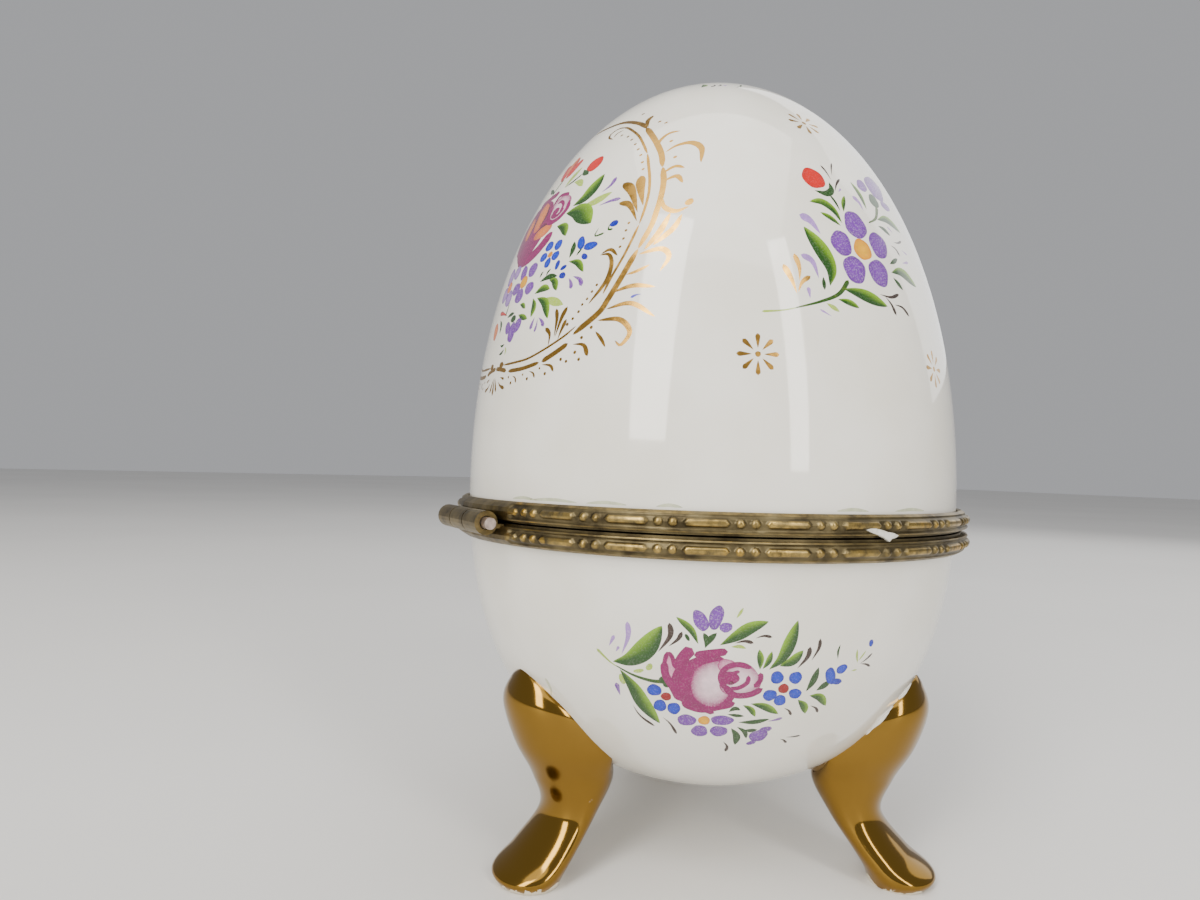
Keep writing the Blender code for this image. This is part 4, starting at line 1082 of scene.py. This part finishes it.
BOUQUET = [
    # scarlet flower at the top
    Stroke("stem", ((0.6, 16.0), (1.4, 18.5), (2.4, 20.5)), 0.7),
    Spot("scarlet", (1.2, 22.4), (1.2, 2.3), 18),
    Spot("orange", (2.7, 23.6), (1.4, 2.2), -8),
    Spot("scarlet", (4.2, 22.4), (1.1, 2.3), -32),
    Stroke("scarlet", ((3.6, 25.4), (3.0, 22.6), (2.6, 20.2)), 1.0),
    Stroke("dark", ((-2.2, 19.6), (-0.4, 18.4), (1.2, 17.6)), 1.0),
    # red bud
    Stroke("pale", ((4.9, 17.6), (6.0, 19.6), (7.4, 21.6)), 1.3),
    Stroke("dark", ((5.0, 17.6), (7.2, 18.4), (9.2, 19.7)), 0.6),
    Spot("scarlet", (11.0, 21.1), (1.75, 1.75), 0),
    Stroke("dark", ((8.6, 20.6), (9.3, 19.7), (10.9, 18.8)), 1.2),
    Stroke("pale", ((7.6, 18.0), (9.4, 17.5), (11.0, 16.1)), 1.3),
    Stroke("leaf", ((11.2, 11.7), (13.8, 13.4), (15.4, 17.6)), 2.9),
    Stroke("pale", ((13.9, 10.9), (16.8, 11.5), (19.5, 12.8)), 1.7),
    Stroke("leaf", ((10.2, 10.5), (13.9, 10.0), (17.8, 6.9)), 3.6),
    Stroke("leaf", ((9.0, 8.2), (11.3, 7.4), (12.7, 5.4)), 1.8),
    Stroke("purple", ((18.6, 16.2), (18.4, 14.5), (17.1, 13.2)), 0.9),
    Stroke("purple", ((22.0, 11.0), (20.2, 10.9), (17.9, 10.3)), 0.75),
    # rose
    Spot("rose", (-0.6, 9.4), (6.0, 6.6), 0),
    Stroke("rose", ((-5.4, 12.6), (-6.0, 9.0), (-4.6, 5.2)), 2.0),
    Stroke("rose", ((-2.6, 4.0), (1.2, 2.9), (5.0, 4.0), (8.3, 7.2)), 2.4),
    Stroke("rose", ((-2.8, 15.8), (0.6, 16.2), (4.0, 16.8)), 1.5),
    Stroke("rose", ((-2.4, 6.4), (-0.6, 3.6), (1.2, 2.0)), 2.0),
    Spot("orange", (0.9, 12.2), (2.1, 3.3), 8),
    Spot("orange", (4.4, 8.2), (2.9, 1.4), 10),
    Spot("orange", (-3.0, 10.6), (1.5, 2.6), 12),
    Stroke("crimson", ((1.2, 8.4), (3.2, 9.6), (6.4, 9.8)), 0.8),
    Stroke("crimson", ((2.4, 14.6), (3.1, 12.0), (2.0, 9.6)), 0.8),
    Stroke("crimson", ((-1.6, 14.4), (-1.2, 11.4), (-2.0, 8.0)), 0.9),
    # rosebud
    Spot("blush", (6.9, 12.4), (2.9, 3.1), 0),
    Stroke("rose", ((4.2, 13.8), (5.0, 15.6), (7.2, 15.5), (8.2, 15.0)), 0.8),
    Stroke("rose", ((4.6, 13.6), (4.3, 11.4), (5.8, 9.7), (8.2, 9.9), (9.7, 11.6), (9.2, 13.6)), 1.1),
    Stroke("rose", ((5.6, 13.7), (6.6, 14.0), (7.9, 13.0), (7.9, 11.3)), 0.7),
    Stroke("rose", ((5.2, 11.6), (6.2, 10.8), (7.6, 10.9), (8.6, 12.2)), 0.8),
    Spot("rose", (6.3, 11.9), (1.0, 0.9), 0),
    # blue flowers
    Spot("blue", (9.1, 4.1), (1.1, 1.0), 0),
    Spot("blue", (11.6, 3.9), (0.95, 1.05), 0),
    Spot("blue", (8.4, 2.1), (1.05, 0.9), 0),
    Spot("blue", (11.8, 1.8), (1.0, 0.9), 0),
    Spot("blue", (10.2, 0.7), (0.85, 1.0), 0),
    Spot("yellow", (10.2, 2.3), (0.65, 0.6), 0),
    Spot("blue", (13.2, -0.2), (0.55, 0.95), 0),
    Spot("blue", (15.0, -1.0), (0.75, 0.45), 20),
    Spot("blue", (15.3, -2.5), (0.85, 0.6), -20),
    Spot("blue", (17.3, 3.2), (0.8, 1.4), 25),
    Spot("blue", (19.6, 2.3), (1.4, 0.8), 0),
    Spot("blue", (19.1, 0.4), (0.85, 0.5), -35),
    Stroke("dark", ((17.2, 0.8), (17.6, 1.6), (18.0, 2.2)), 0.5),
    Stroke("dark", ((15.7, 0.6), (15.9, 2.1), (15.6, 3.8)), 1.1),
    Stroke("stem", ((20.0, 5.6), (19.8, 4.1), (21.6, 4.4)), 0.5),
    Stroke("stem", ((22.0, 6.0), (22.1, 5.0), (23.0, 4.9)), 0.5),
    Spot("blue", (22.8, 6.0), (0.8, 0.65), 0),
    Stroke("leaf", ((15.8, 0.0), (18.1, -0.6), (19.9, -2.5)), 1.2),
    Stroke("purple", ((18.3, -5.3), (17.7, -4.0), (17.0, -3.2)), 0.85),
    Stroke("purple", ((20.4, -5.1), (19.6, -3.8), (17.9, -3.0)), 0.9),
    # leaves below
    Stroke("dark", ((9.6, -2.8), (11.8, -2.2), (14.1, -2.4)), 1.1),
    Stroke("leaf", ((12.2, -2.8), (13.7, -3.3), (14.9, -5.2)), 1.4),
    Stroke("leaf", ((9.0, -4.9), (11.1, -4.2), (13.1, -4.6)), 1.4),
    Stroke("leaf", ((8.9, -5.7), (9.8, -7.4), (9.6, -9.3)), 1.4),
    Stroke("pale", ((12.0, -6.2), (14.6, -7.0), (17.4, -8.0)), 1.5),
    Stroke("leaf", ((10.1, -5.8), (12.7, -7.1), (14.4, -10.1)), 1.7),
    Stroke("leaf", ((4.8, -6.2), (6.0, -6.5), (7.1, -7.3)), 0.95),
    Stroke("leaf", ((5.2, -8.2), (6.8, -8.8), (8.6, -9.4)), 1.1),
    Stroke("dark", ((0.6, -8.1), (2.0, -7.7), (3.4, -7.6)), 0.8),
    Stroke("dark", ((9.2, -2.0), (9.5, -1.2), (9.9, -0.9)), 0.5),
    Stroke("dark", ((11.0, -1.9), (11.2, -1.2), (11.8, -0.7)), 0.5),
    # purple flowers
    Spot("lilac", (-3.6, 0.6), (1.6, 1.8), 0),
    Spot("lilac", (-0.6, 1.0), (1.4, 1.4), 0),
    Spot("lilac", (-4.4, -2.8), (1.7, 1.6), 0),
    Spot("lilac", (-1.4, -4.0), (1.6, 1.6), 0),
    Spot("orange", (-2.6, -1.6), (1.2, 1.1), 0),
    Spot("purple", (2.8, 0.2), (1.2, 1.5), 15),
    Spot("purple", (6.0, 0.2), (1.4, 1.4), 0),
    Spot("purple", (1.4, -2.7), (1.6, 1.2), 0),
    Spot("purple", (6.6, -3.4), (1.4, 1.2), 0),
    Spot("purple", (3.5, -4.4), (1.5, 1.4), 0),
    Spot("yellow", (3.9, -1.8), (1.3, 1.2), 0),
    # tulip at the bottom
    Spot("green", (3.5, -8.7), (1.0, 0.7), 0),
    Spot("purple", (1.9, -10.2), (1.0, 1.3), 30),
    Spot("purple", (5.7, -10.2), (1.1, 1.4), -30),
    Spot("purple", (3.9, -11.3), (1.3, 1.9), 0),
    Stroke("purple", ((10.2, -11.6), (10.4, -10.6), (10.8, -9.4)), 0.9),
    Stroke("purple", ((11.5, -12.2), (11.8, -11.0), (11.7, -9.8)), 0.6),
    Stroke("purple", ((13.8, -11.4), (12.9, -10.3), (11.9, -9.6)), 0.8),
    Stroke("scarlet", ((-4.4, -6.4), (-2.0, -6.9), (0.3, -7.6)), 0.9),
    Stroke("stem", ((-0.4, -4.6), (-0.2, -6.0), (-0.6, -7.6)), 0.6),
    Spot("orange", (-4.6, -10.0), (1.3, 1.8), 20),
    Stroke("dark", ((-3.0, -8.0), (-1.8, -9.2), (-1.6, -10.8)), 0.9),
    Stroke("dark", ((0.0, -13.2), (1.0, -13.5), (2.0, -13.2)), 0.5),
    Stroke("dark", ((0.2, -15.0), (1.4, -14.8), (2.2, -14.2)), 0.6),
    Stroke("pale", ((2.9, -15.4), (3.0, -14.5), (2.6, -13.8)), 0.5),
]


# --------------------------------------------------------------------------- the two halves

GLAZE = glaze_material()
PAINT = paint_material()
GOLD = gold_material()
GILT_FEET = gilt_foot_material()

lid_canvas = Canvas(LID)
dots = [Spot("gold", (x, y), (size, size)) for x, y, size in CARTOUCHE_DOTS]
lid_canvas.lay(0, 108, BOUQUET)
for mirror in (False, True):
    lid_canvas.lay(0, 108, CARTOUCHE + dots, mirror)
lid_canvas.lay(86, 112, LID_SPRAY)
lid_canvas.lay(274, 112, LID_SPRAY, True)
lid_canvas.lay(180, 106, BOWL_SPRAY)
for azimuth, height in ((63.4, 91.2), (109.2, 91.7), (86.2, 135.0), (150.0, 127.0), (210.0, 127.0),
                        (250.8, 91.7), (296.6, 91.2), (273.8, 135.0)):
    lid_canvas.lay(azimuth, height, star_strokes())

# traces at the top, a blue smudge, and dirt along the brass
lid_canvas.lay(60, 144, [
    Stroke("brown", ((-2.6, 0.6), (-1.8, 1.6), (-1.9, 2.6)), 0.6),
    Stroke("brown", ((-1.2, 1.0), (-0.6, 2.0), (-0.9, 3.0)), 0.5),
    Stroke("lilac", ((-0.2, 1.2), (0.6, 2.4)), 0.5),
    Stroke("stem", ((2.0, 0.2), (3.0, 1.5), (3.2, 3.4)), 0.5),
    Stroke("leaf", ((-4.4, 0.6), (-3.6, 2.0), (-3.8, 3.6)), 1.1),
])
lid_canvas.lay(39.5, 100.5, [Stroke("blue", ((-0.9, -0.2), (0.0, 0.2), (0.9, 0.3)), 0.45)])
for azimuth, reach in ((16, 3.0), (24, 5.0), (36, 3.5), (48, 2.0), (82, 3.0), (97, 4.0), (205, 4.0), (300, 3.0)):
    lid_canvas.lay(azimuth, 67.9, [Stroke("dirt", ((-reach, 0.0), (0.0, 0.25), (reach, 0.0)), 0.55)])

bowl_canvas = Canvas(BOWL)
bowl_canvas.lay(16, 35.5, [Stroke("smear", ((0.0, 2.2), (0.4, 0.0), (-0.4, -1.8)), 0.9)])
bowl_canvas.lay(58, 40, BOWL_SPRAY)
bowl_canvas.lay(177, 40, BOWL_SPRAY)
bowl_canvas.lay(298, 40, BOWL_SPRAY)

lid_piece = painted_half("painted_lid", lid_canvas)
bowl_piece = painted_half("painted_bowl", bowl_canvas, [foot(azimuth) for azimuth in FOOT_AZIMUTHS] + [slip_bead(FOOT_AZIMUTHS[1])])

for name, node, side, body in (("stamped_lid_rim", "lid_rim", 1, "lid"), ("stamped_bowl_rim", "bowl_rim", -1, "base")):
    ring = stamped_rim(name, node, side)
    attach(ring, body)
    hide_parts(node)
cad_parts["hinge_pin"].data.materials.clear()
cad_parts["hinge_pin"].data.materials.append(pin_material())

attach(lid_piece, "lid")
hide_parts("lid")
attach(bowl_piece, "base")
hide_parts("bowl")


# --------------------------------------------------------------------------- floor, camera and lights


def floor():
    made = mesh_from("floor", [(-4, -4, 0), (4, -4, 0), (4, 4, 0), (-4, 4, 0)], [(0, 1, 2, 3)])
    m = Nodes("floor_paper", 0.6)
    m.colour(m.mix(m.ramp(m.noise(3.0), 0.3, 0.7), tint(222, 220, 216), tint(228, 226, 222)))
    made.data.materials.append(m.material)
    return made


def camera():
    """The photograph's view: from the front left, about 167 mm from the egg's axis."""
    data = bpy.data.cameras.new("camera")
    data.sensor_width = 36.0
    data.lens = 23.81
    data.clip_start = 0.005
    made = bpy.data.objects.new("camera", data)
    bpy.context.scene.collection.objects.link(made)
    forward = Vector((0.47696, 0.87866, 0.02159)).normalized()
    level = forward.cross(Vector((0, 0, 1))).normalized()
    up = level.cross(forward)
    roll = radians(1.551)
    right = level * cos(roll) + up * sin(roll)
    up = up * cos(roll) - level * sin(roll)
    turn = Matrix((right, up, -forward)).transposed().to_4x4()
    made.matrix_world = Matrix.Translation(Vector((-96.595, -135.05, 73.56)) * MM) @ turn
    bpy.context.scene.camera = made


def light(name, position, target, width, height, power, colour=(1, 1, 1)):
    data = bpy.data.lights.new(name, "AREA")
    data.shape = "RECTANGLE"
    data.size, data.size_y = width, height
    data.energy = power
    data.color = colour
    made = bpy.data.objects.new(name, data)
    bpy.context.scene.collection.objects.link(made)
    made.location = position
    aim = Vector(target) - Vector(position)
    made.rotation_euler = aim.to_track_quat("-Z", "Y").to_euler()
    return made


floor()
camera()
light("key", (-0.74, -0.42, 0.60), (0, 0, 0.08), 0.3, 0.9, 10.0, (1.0, 0.97, 0.92))
light("strip", (0.06, -0.86, 0.48), (0, 0, 0.08), 0.14, 0.8, 4.0, (1.0, 0.97, 0.93))
light("overhead", (-0.2, -0.3, 1.2), (0, 0, 0.08), 1.2, 1.2, 9.0)
light("fill", (0.8, 0.2, 0.6), (0, 0, 0.08), 0.8, 0.8, 3.0)

world = bpy.data.worlds.new("studio")
world.use_nodes = True
world.node_tree.nodes["Background"].inputs["Color"].default_value = (0.80, 0.81, 0.84, 1)
world.node_tree.nodes["Background"].inputs["Strength"].default_value = 0.5
bpy.context.scene.world = world
